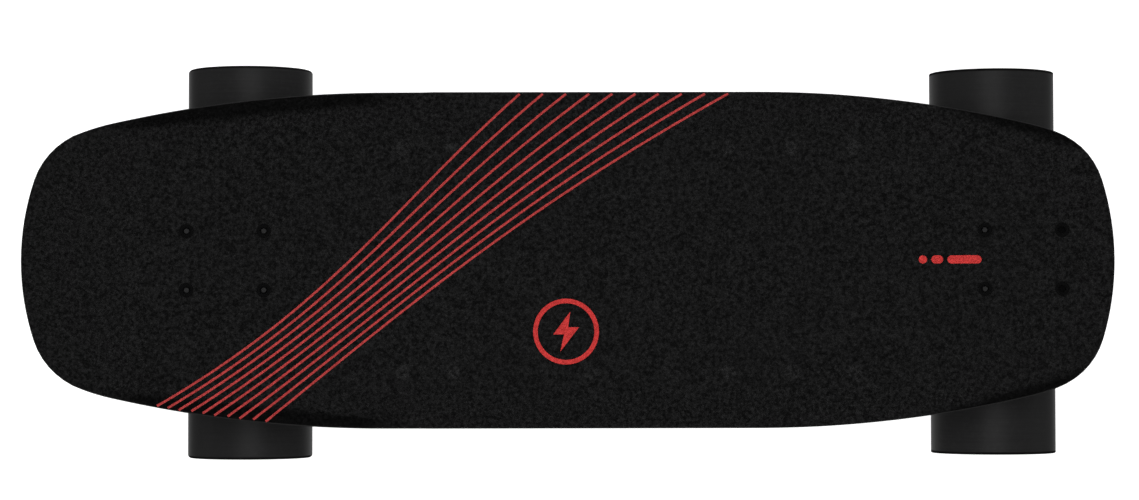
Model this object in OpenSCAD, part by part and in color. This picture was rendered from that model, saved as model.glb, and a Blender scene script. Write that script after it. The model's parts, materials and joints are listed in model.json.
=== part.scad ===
// Electric skateboard: a kicktail deck on two reverse-kingpin trucks, with a hub motor in
// each rear wheel and a shallow battery enclosure bolted under the deck.
// The origin is on the ground under the middle of the deck. +X points to the nose, +Z up.

/* [Deck] */
// Overall length of the deck
deck_length = 762; // [740:1:800]
// Thickness of the laminate
deck_thickness = 11; // [9:0.5:13]
// Thickness of the grip tape
grip_thickness = 1; // [0.6:0.1:1.4]
// Height that the rails curl up, set by the radius of the rail curl
rail_radius = 95; // [85:5:140]
// Radius of the upward curve of the kicktail
kick_radius = 200; // [190:5:300]

/* [Wheels and trucks] */
// Distance between the axles
wheelbase = 540.6; // [535:0.2:546]
// Distance from the tail's tip to the rear axle
tail_overhang = 148.3; // [145:0.1:152]
// Wheel diameter, front and rear
wheel_diameter = 90; // [80:1:90]
// Width over the rear wheels
rear_track = 281.5; // [280:0.5:284]
// Width over the front wheels
front_track = 276.5; // [275:0.5:279]
// Height from the axle's centre to the top of the baseplate
truck_height = 74; // [72:1:78]
// Thickness of the riser pad
riser_thickness = 3; // [2:0.5:6]
// Angle between the steering axis and the ground
steer_angle = 45; // [44:0.5:46]

/* [Enclosure] */
// Length of the enclosure over its flange
tray_length = 345; // [340:1:350]
// Width of the enclosure over its flange
tray_width = 172; // [170:1:174]
// Depth of the enclosure below the deck
tray_depth = 34; // [33:0.5:36]
// Wall thickness of the enclosure
tray_wall = 3; // [2.5:0.5:3]
// Travel of the power button
button_travel = 1.5; // [0.5:0.1:1.6]

/* [Hidden] */
$fn = 64;

// Heights, from the ground up
axle_z = wheel_diameter / 2;
plate_top = axle_z + truck_height;
plate_thickness = 7;
deck_under = plate_top + riser_thickness;
deck_top = deck_under + deck_thickness;
grip_top = deck_top + grip_thickness;

// Axle places along the deck
rear_x = tail_overhang - deck_length / 2;
front_x = rear_x + wheelbase;

// Deck outline: arcs from the tip to the side, each [radius, degrees turned]
outline_arcs = [[190, 17.1], [53.25, 51.9], [149, 8.1], [850, 12.9]];
arc_step = 4;
flat_half = 88;
rail_half = 120;
rail_steps = 4;
kick_x = -294.5;
kick_sweep = 30;

// Wheel-arch bevels on the deck's top edge: [X of the middle, Y of the inner line, slope]
bevels = [[-221.5, 106.7, 5.9], [304.5, 93.2, -16]];
bevel_tilt = 20;
bevel_length = 180;

// Truck bolts. The middle of each group lies outboard of the axle by bolt_shift
bolt_dx = 53.98;
bolt_shift = 9;
bolt_dy = 41.28;
bolt_r = 2.4;
bolt_hole_r = 2.6;
bolt_head_r = 5;
bolt_length = 30;
bolt_nut_r = 4.6;
bolt_nut_h = 5;

// Steering geometry, measured from the axle in the truck's own frame
pivot_back = 24;
pivot_z = 38;
kingpin_u = 48;
ring_half = 4.5;
seat_w = 18.5;
kingpin_r = 4.75;
beam_u = 21.92;
beam_w = -12.02;
hanger_half = 87.5;

// Enclosure
tray_x = 40;
tray_floor_z = deck_under - tray_depth;
gasket_t = 1.5;
flange_t = 4;
flange_w = 15;
flange_end_w = 8;
flange_z = deck_under - gasket_t - flange_t;
tray_body_l = tray_length - 2 * flange_end_w;
tray_body_w = tray_width - 2 * flange_w;
screw_x = [-117.5, -82.5, 13.5, 110, 154.5, 198.5];
screw_y = 78.4;
screw_r = 1.95;
insert_depth = 8;

// Battery: two rows of ten 18650 cells lying across the board
cell_r = 9.1;
cell_length = 65;
cell_pitch = 19;
cells_per_row = 10;
cell_x0 = -100.5;
cell_gap_y = 2;
cell_z = tray_floor_z + tray_wall + 11.5;
holder_h = 22;

// Motor controller
esc_x = 135.5;
esc_z = tray_floor_z + tray_wall + 7;
sink_l = 90;
sink_w = 70;
fins = 12;

// Controls on the right-hand wall of the enclosure
wall_y = -tray_body_w / 2;
control_z = 102;
button_x = 107.5;
lens_x = 130.5;
socket_x = 157.5;
cap_hinge_x = 144.5;
cap_hinge_y = wall_y - 4.9;

// Motor cable: points from the hanger to the enclosure's rear wall, left side
cable_r = 3.5;
cable_path = [
    [-215.5, 76, 50], [-214.5, 68, 50], [-213.5, 60, 50.5], [-210.5, 53, 53], [-205, 47.5, 59],
    [-197.5, 43, 68], [-189, 39.5, 78], [-180, 37, 87], [-170, 35.5, 95], [-159.5, 34.5, 100.5],
    [-149, 34, 103.3], [-138.5, 34, 104], [-128.5, 34, 104], [-121.5, 34, 104]
];
gland_y = 34;
gland_z = 104;

// ---------------------------------------------------------------- helpers

// Points of one arc, from a heading of a0 degrees, turning by t, from point p
function arc_points(p, r, a0, t, n) = [
    for (i = [1:n])
        let (a = a0 + t * i / n)
        [p[0] - r * (cos(a0) - cos(a)), p[1] + r * (sin(a) - sin(a0))]
];

// A quarter of the outline, from the tip of the deck to where its side is straight
function quarter(inset, k, p, a0) = k == len(outline_arcs) ? [] :
    let (
        r = outline_arcs[k][0] - inset,
        t = outline_arcs[k][1],
        n = ceil(t / arc_step),
        q = arc_points(p, r, a0, t, n)
    )
    concat(q, quarter(inset, k + 1, q[n - 1], a0 + t));

function outline(inset) =
    let (
        tip = [deck_length / 2 - inset, 0],
        q = quarter(inset, 0, tip, 0),
        last = len(q) - 1
    )
    concat(
        [tip], q,
        [for (i = [last:-1:0]) [-q[i][0], q[i][1]]],
        [[-tip[0], 0]],
        [for (i = [0:last]) [-q[i][0], -q[i][1]]],
        [for (i = [last:-1:0]) [q[i][0], -q[i][1]]]
    );

// Rise of the rail at a distance y from the centre line
function rail_rise(y) = y <= flat_half ? 0 :
    rail_radius - sqrt(rail_radius * rail_radius - (y - flat_half) * (y - flat_half));

// Upper edge of the deck's cross-section at height z, from left to right
function section_edge(z) =
    let (ys = [for (i = [0:rail_steps]) flat_half + (rail_half - flat_half) * i / rail_steps])
    concat(
        [for (i = [rail_steps:-1:0]) [-ys[i], z + rail_rise(ys[i])]],
        [for (y = ys) [y, z + rail_rise(y)]]
    );

function reversed(list) = [for (i = [len(list) - 1:-1:0]) list[i]];

function rounded_rect(l, w, r, n = 6) = [
    for (c = [[1, 1, 0], [-1, 1, 90], [-1, -1, 180], [1, -1, 270]])
        for (i = [0:n])
            [c[0] * (l / 2 - r) + r * cos(c[2] + 90 * i / n),
             c[1] * (w / 2 - r) + r * sin(c[2] + 90 * i / n)]
];

module prism(points, z0, z1) {
    translate([0, 0, z0])
        linear_extrude(z1 - z0)
            polygon(points);
}

module box(x0, x1, y0, y1, z0, z1) {
    translate([x0, y0, z0])
        cube([x1 - x0, y1 - y0, z1 - z0]);
}

// A cylinder along Y from y0 to y1
module rod_y(r, y0, y1) {
    translate([0, y0, 0])
        rotate([-90, 0, 0])
            cylinder(r = r, h = y1 - y0);
}

// A ring along Z
module ring(r_out, r_in, z0, z1) {
    translate([0, 0, z0])
        difference() {
            cylinder(r = r_out, h = z1 - z0);
            translate([0, 0, -1])
                cylinder(r = r_in, h = z1 - z0 + 2);
        }
}

// A ring along Y
module ring_y(r_out, r_in, y0, y1) {
    rotate([-90, 0, 0])
        ring(r_out, r_in, y0, y1);
}

// Both trucks: side 1 is the front, side -1 the rear, each with +X pointing outwards
module at_truck(side) {
    translate([side > 0 ? front_x : rear_x, 0, 0])
        mirror([side > 0 ? 0 : 1, 0, 0])
            children();
}

module both_trucks() {
    at_truck(1) children();
    at_truck(-1) children();
}

// The steering frame: X along the steering axis, Z along the kingpin towards the deck
module steer_frame() {
    translate([-pivot_back, 0, pivot_z])
        rotate([0, -steer_angle, 0])
            children();
}

module on_kingpin() {
    steer_frame()
        translate([kingpin_u, 0, 0])
            children();
}

module at_bolts() {
    for (x = [-1, 1])
        for (y = [-1, 1])
            translate([bolt_shift + x * bolt_dx / 2, y * bolt_dy / 2, 0])
                children();
}

module at_screws() {
    for (x = screw_x)
        for (y = [-1, 1])
            translate([x, y * screw_y, 0])
                children();
}

// One wheel place: +Y always points outwards
module at_wheel(x, side) {
    translate([x, 0, axle_z])
        mirror([0, side > 0 ? 0 : 1, 0])
            children();
}

module both_sides(x) {
    at_wheel(x, 1) children();
    at_wheel(x, -1) children();
}

// ---------------------------------------------------------------- deck

// The swept section between two heights: the level board, then the curve of the kicktail
module swept_section(z_low, z_high) {
    section = concat(section_edge(z_low), reversed(section_edge(z_high)));
    bend_z = deck_top + kick_radius;
    translate([kick_x, 0, 0])
        rotate([90, 0, 90])
            linear_extrude(deck_length / 2 - kick_x + 5)
                polygon(section);
    translate([kick_x, 0, bend_z])
        rotate([-90, 90, 0])
            rotate_extrude(angle = kick_sweep, $fn = 128)
                polygon([for (p = section) [bend_z - p[1], p[0]]]);
}

module bevel_cuts() {
    for (b = bevels)
        for (side = [0, 1])
            mirror([0, side, 0])
                translate([b[0], b[1], grip_top + rail_rise(b[1])])
                    rotate([-bevel_tilt, 0, b[2]])
                        translate([-bevel_length / 2, 0, 0])
                            cube([bevel_length, 40, 20]);
}

module board_shape(inset, z_low, z_high) {
    difference() {
        intersection() {
            prism(outline(inset), deck_under - 20, grip_top + 60);
            swept_section(z_low, z_high);
        }
        bevel_cuts();
    }
}

module deck() {
    color([0.10, 0.10, 0.105])
        difference() {
            board_shape(0, deck_under, deck_top);
            both_trucks()
                at_bolts() {
                    translate([0, 0, deck_under - 5])
                        cylinder(r = bolt_hole_r, h = deck_thickness + 20);
                    translate([0, 0, grip_top - 5])
                        cylinder(r1 = bolt_hole_r, r2 = bolt_head_r + 0.2, h = 5);
                }
            at_screws()
                translate([0, 0, deck_under - 1])
                    cylinder(r = 4.05, h = insert_depth + 1.2);
        }
}

module grip_tape() {
    color([0.085, 0.085, 0.09])
        difference() {
            board_shape(0.8, deck_top, grip_top);
            both_trucks()
                at_bolts()
                    translate([0, 0, deck_top - 5])
                        cylinder(r = bolt_head_r + 0.3, h = 20);
        }
}

// ---------------------------------------------------------------- trucks

module riser_pads() {
    color([0.07, 0.07, 0.07])
        both_trucks()
            difference() {
                translate([1, 0, 0])
                    prism(rounded_rect(104, 62, 9), plate_top, deck_under);
                at_bolts()
                    translate([0, 0, plate_top - 1])
                        cylinder(r = bolt_hole_r, h = riser_thickness + 2);
            }
}

module baseplate() {
    plate_under = plate_top - plate_thickness;
    difference() {
        union() {
            translate([1, 0, 0])
                prism(rounded_rect(102, 60, 8), plate_under, plate_top);
            // The fin that carries the kingpin and the pivot cup
            translate([0, 15, 0])
                rotate([90, 0, 0])
                    linear_extrude(30)
                        polygon([
                            [26, plate_under + 1], [8.5, 96.6], [-13, 75.1], [-8.4, 70.5],
                            [-29, 50], [-41, 38], [-46, 44], [-48, plate_under + 1]
                        ]);
            steer_frame()
                translate([-10, 0, 0])
                    rotate([0, 90, 0])
                        cylinder(r = 12.5, h = 15);
        }
        at_bolts()
            translate([0, 0, plate_under - 1])
                cylinder(r = bolt_hole_r, h = plate_thickness + 2);
        on_kingpin() {
            translate([0, 0, seat_w - 8])
                cylinder(r = kingpin_r + 0.1, h = 40);
            // Bushing seat, cleared of the fin's shoulders
            translate([0, 0, seat_w - 16])
                cylinder(r = 13, h = 16);
            translate([0, 0, 34])
                cylinder(r = 9.2, h = 60);
        }
        steer_frame()
            translate([-7, 0, 0])
                rotate([0, 90, 0])
                    cylinder(r = 9.5, h = 20);
    }
}

module front_baseplate() {
    color([0.14, 0.14, 0.15])
        at_truck(1) baseplate();
}

module rear_baseplate() {
    color([0.14, 0.14, 0.15])
        at_truck(-1) baseplate();
}

module pivot_cups() {
    color([0.80, 0.80, 0.78])
        both_trucks()
            steer_frame()
                rotate([0, 90, 0])
                    difference() {
                        translate([0, 0, -7])
                            cylinder(r = 9.5, h = 12);
                        cylinder(r = 6.6, h = 20);
                        sphere(r = 6.6);
                    }
}

module kingpins() {
    color([0.55, 0.56, 0.58])
        both_trucks()
            on_kingpin() {
                translate([0, 0, -30])
                    cylinder(r = kingpin_r, h = 64);
                translate([0, 0, 34])
                    cylinder(r = 8.2, h = 6, $fn = 6);
            }
}

module kingpin_nuts() {
    color([0.60, 0.61, 0.63])
        both_trucks()
            on_kingpin()
                translate([0, 0, -seat_w - 8.5])
                    difference() {
                        cylinder(r = 8.2, h = 8.5, $fn = 6);
                        translate([0, 0, -1])
                            cylinder(r = kingpin_r + 0.05, h = 12);
                    }
}

module kingpin_washers() {
    color([0.66, 0.67, 0.69])
        both_trucks()
            on_kingpin() {
                ring(11, kingpin_r + 0.1, seat_w - 1.5, seat_w);
                ring(11, kingpin_r + 0.1, -seat_w, -seat_w + 1.5);
            }
}

// One barrel bushing, standing on the hanger's ring
module bushing() {
    h = seat_w - 1.5 - ring_half;
    translate([0, 0, ring_half])
        rotate_extrude()
            polygon([
                [kingpin_r + 0.15, 0], [11.2, 0], [12.3, h * 0.25], [12.5, h * 0.5],
                [12.3, h * 0.75], [11.2, h], [kingpin_r + 0.15, h]
            ]);
}

module bushing_pair() {
    on_kingpin() {
        bushing();
        mirror([0, 0, 1]) bushing();
    }
}

module front_bushings() {
    color([0.12, 0.12, 0.12])
        at_truck(1) bushing_pair();
}

module rear_bushings() {
    color([0.12, 0.12, 0.12])
        at_truck(-1) bushing_pair();
}

module truck_bolts() {
    socket_r = 1.75;
    color([0.16, 0.16, 0.17])
        both_trucks()
            at_bolts()
                difference() {
                    union() {
                        translate([0, 0, grip_top - bolt_length])
                            cylinder(r = bolt_r, h = bolt_length - 2.8);
                        translate([0, 0, grip_top - 2.9])
                            cylinder(r1 = bolt_r, r2 = bolt_head_r, h = 2.8);
                    }
                    translate([0, 0, grip_top - 2.2])
                        cylinder(r = socket_r, h = 5, $fn = 6);
                }
}

module truck_nuts() {
    nut_top = plate_top - plate_thickness;
    color([0.62, 0.63, 0.65])
        both_trucks()
            at_bolts()
                translate([0, 0, nut_top - bolt_nut_h])
                    difference() {
                        cylinder(r = bolt_nut_r, h = bolt_nut_h, $fn = 6);
                        translate([0, 0, -1])
                            cylinder(r = bolt_r + 0.05, h = 8);
                    }
}

// The hanger without its bores: pivot nub, kingpin ring, neck and tapered beam
module hanger_blank() {
    steer_frame() {
        sphere(r = 6.5);
        rotate([0, 90, 0])
            cylinder(r = 6.5, h = 14);
        translate([0, 13, 0])
            rotate([90, 0, 0])
                linear_extrude(26)
                    polygon([[9, -6], [9, 6], [34, 4.5], [34, -4.5], [30, -10], [14, -14]]);
        translate([kingpin_u, 0, -ring_half])
            cylinder(r = 16, h = 2 * ring_half);
    }
    for (side = [0, 1])
        mirror([0, side, 0])
            translate([0, 0, axle_z])
                rotate([-90, 0, 0])
                    cylinder(r1 = 12.5, r2 = 10, h = hanger_half);
}

module kingpin_hole() {
    on_kingpin()
        translate([0, 0, -10])
            cylinder(r = 7, h = 20);
}

module front_hanger() {
    shoulder_y = front_track / 2 - 43;
    color([0.15, 0.15, 0.16])
        at_truck(1)
            difference() {
                union() {
                    hanger_blank();
                    translate([0, 0, axle_z])
                        rod_y(8, -shoulder_y, shoulder_y);
                }
                kingpin_hole();
                translate([0, 0, axle_z])
                    rod_y(4.05, -150, 150);
            }
}

module rear_hanger() {
    color([0.15, 0.15, 0.16])
        at_truck(-1)
            difference() {
                hanger_blank();
                kingpin_hole();
                for (side = [0, 1])
                    mirror([0, side, 0])
                        translate([0, 0, axle_z])
                            rod_y(7.55, 60, 100);
            }
}

// ---------------------------------------------------------------- front wheels

// Distances along Y here are from the wheel's inner face
front_in = front_track / 2 - 52;
rear_in = rear_track / 2 - 52;

module front_axle() {
    color([0.62, 0.63, 0.65])
        translate([front_x, 0, axle_z])
            rod_y(4, -front_in - 45, front_in + 45);
}

module front_speed_washers() {
    color([0.70, 0.71, 0.73])
        both_sides(front_x) {
            ring_y(6, 4.05, front_in + 9, front_in + 10);
            ring_y(6, 4.05, front_in + 34.1, front_in + 35.1);
        }
}

module front_axle_nuts() {
    color([0.62, 0.63, 0.65])
        both_sides(front_x)
            difference() {
                translate([0, front_in + 35.1, 0])
                    rotate([-90, 0, 0])
                        cylinder(r = 7.4, h = 8, $fn = 6);
                rod_y(4.05, front_in, front_in + 60);
            }
}

// A tyre as a ring with a bevel or a rounded lip of size e
module tyre_ring(r_in, y0, y1, e, n) {
    r = wheel_diameter / 2;
    lip = [for (i = [0:n]) let (a = 90 * i / n) [r - e + e * cos(a), e - e * sin(a)]];
    rotate([-90, 0, 0])
        rotate_extrude($fn = 128)
            polygon(concat(
                [[r_in, y0]],
                [for (p = reversed(lip)) [p[0], y0 + p[1]]],
                [for (p = lip) [p[0], y1 - p[1]]],
                [[r_in, y1]]
            ));
}

module front_tyre(side) {
    color([0.15, 0.15, 0.155])
        at_wheel(front_x, side)
            tyre_ring(27, front_in, front_in + 52, 0.8, 1);
}

module front_core(side) {
    spokes = 8;
    color([0.10, 0.10, 0.11])
        at_wheel(front_x, side)
            difference() {
                union() {
                    ring_y(27, 23.5, front_in + 4, front_in + 48);
                    ring_y(14.5, 11, front_in + 8, front_in + 36);
                    ring_y(24, 14, front_in + 14, front_in + 30);
                }
                for (i = [0:spokes - 1])
                    rotate([0, 360 * i / spokes, 0])
                        translate([19, 0, 0])
                            rod_y(3.6, front_in, front_in + 52);
            }
}

// One ball bearing with its shields set back, from y0
module bearing(r_out, r_in, y0, w) {
    rim = (r_out - r_in) * 0.24;
    rotate([-90, 0, 0])
        rotate_extrude()
            polygon([
                [r_in, y0], [r_in + rim, y0], [r_in + rim, y0 + 0.5],
                [r_out - rim, y0 + 0.5], [r_out - rim, y0], [r_out, y0],
                [r_out, y0 + w], [r_out - rim, y0 + w], [r_out - rim, y0 + w - 0.5],
                [r_in + rim, y0 + w - 0.5], [r_in + rim, y0 + w], [r_in, y0 + w]
            ]);
}

module front_bearings(side) {
    color([0.68, 0.69, 0.71])
        at_wheel(front_x, side) {
            bearing(11, 4.05, front_in + 10.05, 7);
            ring_y(6, 4.05, front_in + 17.05, front_in + 27.05);
            bearing(11, 4.05, front_in + 27.05, 7);
        }
}

// ---------------------------------------------------------------- rear hub motors

module motor_axles() {
    color([0.60, 0.61, 0.63])
        both_sides(rear_x) {
            rod_y(7.5, 70, rear_in + 35);
            rod_y(4, rear_in + 35, rear_in + 44);
        }
}

module rear_axle_nuts() {
    color([0.62, 0.63, 0.65])
        both_sides(rear_x)
            difference() {
                translate([0, rear_in + 35.1, 0])
                    rotate([-90, 0, 0])
                        cylinder(r = 7.4, h = 7, $fn = 6);
                rod_y(4.05, rear_in, rear_in + 60);
            }
}

stator_y0 = rear_in + 9;
stator_y1 = rear_in + 26;
slots = 12;

module motor_stators() {
    color([0.50, 0.50, 0.52])
        both_sides(rear_x)
            difference() {
                rod_y(29.4, stator_y0, stator_y1);
                rod_y(7.52, stator_y0 - 1, stator_y1 + 1);
                for (i = [0:slots - 1])
                    rotate([0, 360 * i / slots, 0])
                        difference() {
                            translate([12.5, stator_y0 - 1, -6])
                                cube([20, 19, 12]);
                            // Teeth stand between the slots
                            rotate([0, 180 / slots, 0])
                                translate([0, stator_y0 - 2, -3])
                                    cube([40, 21, 6]);
                            rotate([0, -180 / slots, 0])
                                translate([0, stator_y0 - 2, -3])
                                    cube([40, 21, 6]);
                            // Tooth tips leave a narrow slot opening
                            translate([26, stator_y0 - 2, 1.2])
                                cube([10, 21, 10]);
                            translate([26, stator_y0 - 2, -11.2])
                                cube([10, 21, 10]);
                        }
            }
}

module motor_windings() {
    color([0.72, 0.38, 0.16])
        both_sides(rear_x)
            for (i = [0:slots - 1])
                rotate([0, 360 * (i + 0.5) / slots, 0])
                    difference() {
                        translate([14.5, stator_y0 - 1, -4.4])
                            cube([9.5, stator_y1 - stator_y0 + 2, 8.8]);
                        translate([14, stator_y0 - 0.05, -3.05])
                            cube([11, stator_y1 - stator_y0 + 0.1, 6.1]);
                    }
}

module rear_tyre(side) {
    color([0.15, 0.15, 0.155])
        at_wheel(rear_x, side)
            tyre_ring(36, rear_in, rear_in + 52, 2.5, 4);
}

module motor_can(side) {
    color([0.13, 0.13, 0.14])
        at_wheel(rear_x, side)
            difference() {
                union() {
                    ring_y(36, 33.2, rear_in + 4, rear_in + 49);
                    ring_y(34, 17, rear_in + 42, rear_in + 48);
                    ring_y(18, 14, rear_in + 27.5, rear_in + 48);
                }
                for (i = [0:5])
                    rotate([0, 60 * i, 0])
                        translate([26, 0, 0])
                            rod_y(4, rear_in + 45.5, rear_in + 52);
            }
}

module magnet_ring(side) {
    poles = 14;
    color([0.66, 0.67, 0.70])
        at_wheel(rear_x, side)
            difference() {
                ring_y(33.2, 30.6, stator_y0 - 1, stator_y1 + 1);
                for (i = [0:poles - 1])
                    rotate([0, 360 * i / poles, 0])
                        translate([29, stator_y0 - 2, -0.6])
                            cube([6, 21, 1.2]);
            }
}

module motor_cover(side) {
    color([0.13, 0.13, 0.14])
        at_wheel(rear_x, side)
            difference() {
                union() {
                    ring_y(36, 17, rear_in + 0.6, rear_in + 4);
                    ring_y(18, 14, rear_in + 0.6, rear_in + 7);
                }
                for (i = [0:5])
                    rotate([0, 60 * i + 30, 0])
                        translate([29, 0, 0])
                            rod_y(1.6, rear_in, rear_in + 2.6);
            }
}

module rear_bearings(side) {
    color([0.68, 0.69, 0.71])
        at_wheel(rear_x, side) {
            bearing(14, 7.55, rear_in + 0.6, 6.4);
            bearing(14, 7.55, rear_in + 27.5, 7);
        }
}

// ---------------------------------------------------------------- enclosure

module enclosure_tray() {
    z0 = tray_floor_z;
    color([0.11, 0.11, 0.115])
        translate([tray_x, 0, 0])
            difference() {
                union() {
                    prism(rounded_rect(tray_body_l - 4, tray_body_w - 4, 10), z0, z0 + 2);
                    prism(rounded_rect(tray_body_l, tray_body_w, 12), z0 + 2, flange_z + 1);
                    prism(rounded_rect(tray_length, tray_width, 14), flange_z,
                          flange_z + flange_t);
                }
                prism(rounded_rect(tray_body_l - 2 * tray_wall, tray_body_w - 2 * tray_wall, 9),
                      z0 + tray_wall, deck_under);
                // Window for the heat sink
                translate([esc_x - tray_x, 0, 0])
                    prism(rounded_rect(sink_l, sink_w, 4), z0 - 1, z0 + tray_wall + 1);
                translate([-tray_x, 0, 0]) {
                    at_screws()
                        translate([0, 0, flange_z - 1])
                            cylinder(r = 2.2, h = flange_t + 2);
                    for (s = [-1, 1])
                        translate([tray_x - tray_body_l / 2 - 1, s * gland_y, gland_z])
                            rotate([0, 90, 0])
                                cylinder(r = 5, h = tray_wall + 3);
                    translate([button_x, 0, control_z])
                        rod_y(8.6, wall_y - 1, wall_y + 6);
                    translate([socket_x, 0, control_z])
                        rod_y(6.1, wall_y - 1, wall_y + 6);
                    translate([lens_x, wall_y + 1, control_z])
                        rotate([90, 0, 0])
                            prism(rounded_rect(5.2, 16.2, 2.5), -6, 6);
                }
            }
}

module enclosure_gasket() {
    color([0.05, 0.05, 0.05])
        difference() {
            translate([tray_x, 0, 0])
                difference() {
                    prism(rounded_rect(tray_length - 1, tray_width - 1, 13.5),
                          deck_under - gasket_t, deck_under);
                    prism(rounded_rect(tray_body_l - 4, tray_body_w - 4, 10),
                          deck_under - gasket_t - 1, deck_under + 1);
                }
            at_screws()
                translate([0, 0, deck_under - 3])
                    cylinder(r = 2.2, h = 6);
        }
}

module enclosure_screws() {
    color([0.30, 0.30, 0.32])
        at_screws()
            difference() {
                union() {
                    translate([0, 0, flange_z - 2.6])
                        cylinder(r = 3.9, h = 2.6);
                    translate([0, 0, flange_z - 0.1])
                        cylinder(r = screw_r, h = 12);
                }
                translate([0, 0, flange_z - 3])
                    cylinder(r = 1.45, h = 2, $fn = 6);
            }
}

module enclosure_inserts() {
    color([0.72, 0.58, 0.28])
        at_screws()
            ring(4, 2, deck_under, deck_under + insert_depth);
}

// One row of cells is on each side of the centre line
module cell_rows() {
    for (s = [-1, 1])
        for (i = [0:cells_per_row - 1])
            translate([cell_x0 + cell_pitch * i, s * (cell_gap_y + cell_length / 2), cell_z])
                children();
}

module battery_cells() {
    color([0.18, 0.42, 0.62])
        cell_rows()
            rod_y(cell_r, -cell_length / 2 + 0.4, cell_length / 2 - 0.4);
}

module cell_holders() {
    x0 = cell_x0 - cell_pitch / 2;
    x1 = x0 + cell_pitch * cells_per_row;
    color([0.08, 0.08, 0.08])
        difference() {
            for (s = [-1, 1])
                for (y = [8, 56])
                    box(x0, x1, s > 0 ? y : -y - 5, s > 0 ? y + 5 : -y,
                        cell_z - holder_h / 2, cell_z + holder_h / 2);
            cell_rows()
                rod_y(cell_r + 0.1, -cell_length, cell_length);
        }
}

module nickel_strips() {
    y_in = cell_gap_y + 0.1;
    y_out = cell_gap_y + cell_length - 0.4;
    color([0.75, 0.74, 0.70])
        for (s = [0, 1])
            mirror([0, s, 0])
                for (i = [0:cells_per_row / 2 - 1])
                    for (y = [y_in, y_out])
                        translate([cell_x0 + cell_pitch * (2 * i + 0.5), y, cell_z])
                            translate([-15, 0, -4])
                                cube([30, 0.3, 8]);
}

module battery_board() {
    z = cell_z + holder_h / 2;
    color([0.08, 0.32, 0.16]) {
        box(-64.5, 25.5, -28, 28, z, z + 1.6);
        for (i = [0:5])
            box(-54.5 + 13 * i, -45.5 + 13 * i, -22, -14, z + 1.6, z + 3.2);
        box(-42.5, -28.5, 4, 18, z + 1.6, z + 3.2);
        box(-2.5, 15.5, 6, 20, z + 1.6, z + 5);
    }
}

module esc_board() {
    color([0.07, 0.25, 0.30]) {
        box(esc_x - 46, esc_x + 46, -46, 46, esc_z, esc_z + 1.6);
        // Power transistors sit on the heat sink under the board
        for (i = [0:5])
            for (s = [-1, 1])
                box(esc_x - 38 + 13 * i, esc_x - 28 + 13 * i, s * 22 - 7, s * 22 + 7,
                    esc_z - 3, esc_z);
        box(esc_x - 8, esc_x + 8, -8, 8, esc_z + 1.6, esc_z + 3.4);
        // Receiver module with its shield
        box(esc_x + 18, esc_x + 40, -40, -24, esc_z + 1.6, esc_z + 4.4);
    }
}

module esc_heat_sink() {
    z0 = tray_floor_z;
    pitch = sink_w / fins;
    color([0.45, 0.46, 0.48]) {
        translate([esc_x, 0, 0]) {
            prism(rounded_rect(sink_l + 6, sink_w + 10, 4), z0 + tray_wall, z0 + tray_wall + 4);
            prism(rounded_rect(sink_l - 0.6, sink_w - 0.6, 3.7), z0 - 0.5, z0 + tray_wall);
        }
        for (i = [0:fins - 1])
            translate([esc_x - sink_l / 2 + 5, -sink_w / 2 + pitch * (i + 0.5) - 1.1, z0 - 4])
                cube([sink_l - 10, 2.2, 4]);
    }
}

module esc_capacitors() {
    color([0.12, 0.14, 0.30])
        for (i = [0:3])
            translate([esc_x - 34 + 14 * i, 0, esc_z + 8])
                rod_y(6.2, 16, 42);
}

module battery_lead() {
    color([0.62, 0.08, 0.08])
        for (y = [30, 38])
            translate([0, y, cell_z + 14.5])
                rotate([0, 90, 0])
                    translate([0, 0, -72.5])
                        cylinder(r = 2.2, h = 170);
}

module power_button_bezel() {
    color([0.50, 0.51, 0.53])
        translate([button_x, 0, control_z])
            difference() {
                union() {
                    rod_y(11, wall_y - 2.5, wall_y);
                    rod_y(8.5, wall_y - 1, wall_y + 11);
                }
                rod_y(6.6, wall_y - 5, wall_y + 12);
            }
}

module power_button() {
    color([0.16, 0.16, 0.17])
        translate([button_x, 0, control_z])
            rod_y(6.5, wall_y - 4.2, wall_y + 9);
}

module power_switch() {
    color([0.08, 0.08, 0.08])
        box(button_x - 8.5, button_x + 8.5, wall_y + 11, wall_y + 17, control_z - 7,
            control_z + 7);
}

module charge_socket() {
    color([0.14, 0.14, 0.14])
        translate([socket_x, 0, control_z])
            union() {
                difference() {
                    union() {
                        rod_y(10, wall_y - 2.5, wall_y);
                        rod_y(6, wall_y - 1, wall_y + 12);
                        box(cap_hinge_x - socket_x - 3.5, 0, wall_y - 2.5, wall_y, -6.4, 6.4);
                    }
                    rod_y(4, wall_y - 5, wall_y + 9);
                }
                rod_y(1, wall_y - 0.5, wall_y + 10);
                // Hinge lugs of the cap
                for (z = [-6.4, 4.4])
                    translate([0, 0, z])
                        difference() {
                            box(cap_hinge_x - socket_x - 3, cap_hinge_x - socket_x + 2.2,
                                cap_hinge_y - 2.2, wall_y - 1, 0, 2);
                            translate([cap_hinge_x - socket_x, cap_hinge_y, -1])
                                cylinder(r = 1.06, h = 4);
                        }
            }
}

module charge_cap() {
    face_y = wall_y - 2.8;
    color([0.06, 0.06, 0.06])
        translate([0, 0, control_z]) {
            translate([socket_x, 0, 0]) {
                rod_y(9.4, face_y - 2.6, face_y);
                rod_y(3.2, face_y - 0.5, face_y + 2);
            }
            box(cap_hinge_x, socket_x - 5, face_y - 2.6, face_y - 0.6, -4, 4);
            translate([cap_hinge_x, cap_hinge_y, -4.1])
                cylinder(r = 1.9, h = 8.2);
            translate([cap_hinge_x, cap_hinge_y, -6.3])
                cylinder(r = 1, h = 12.6);
        }
}

module status_light_lens() {
    color([0.85, 0.88, 0.90])
        translate([lens_x, wall_y, control_z])
            rotate([90, 0, 0])
                prism(rounded_rect(5, 16, 2.4), -tray_wall, 0.6);
}

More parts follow.
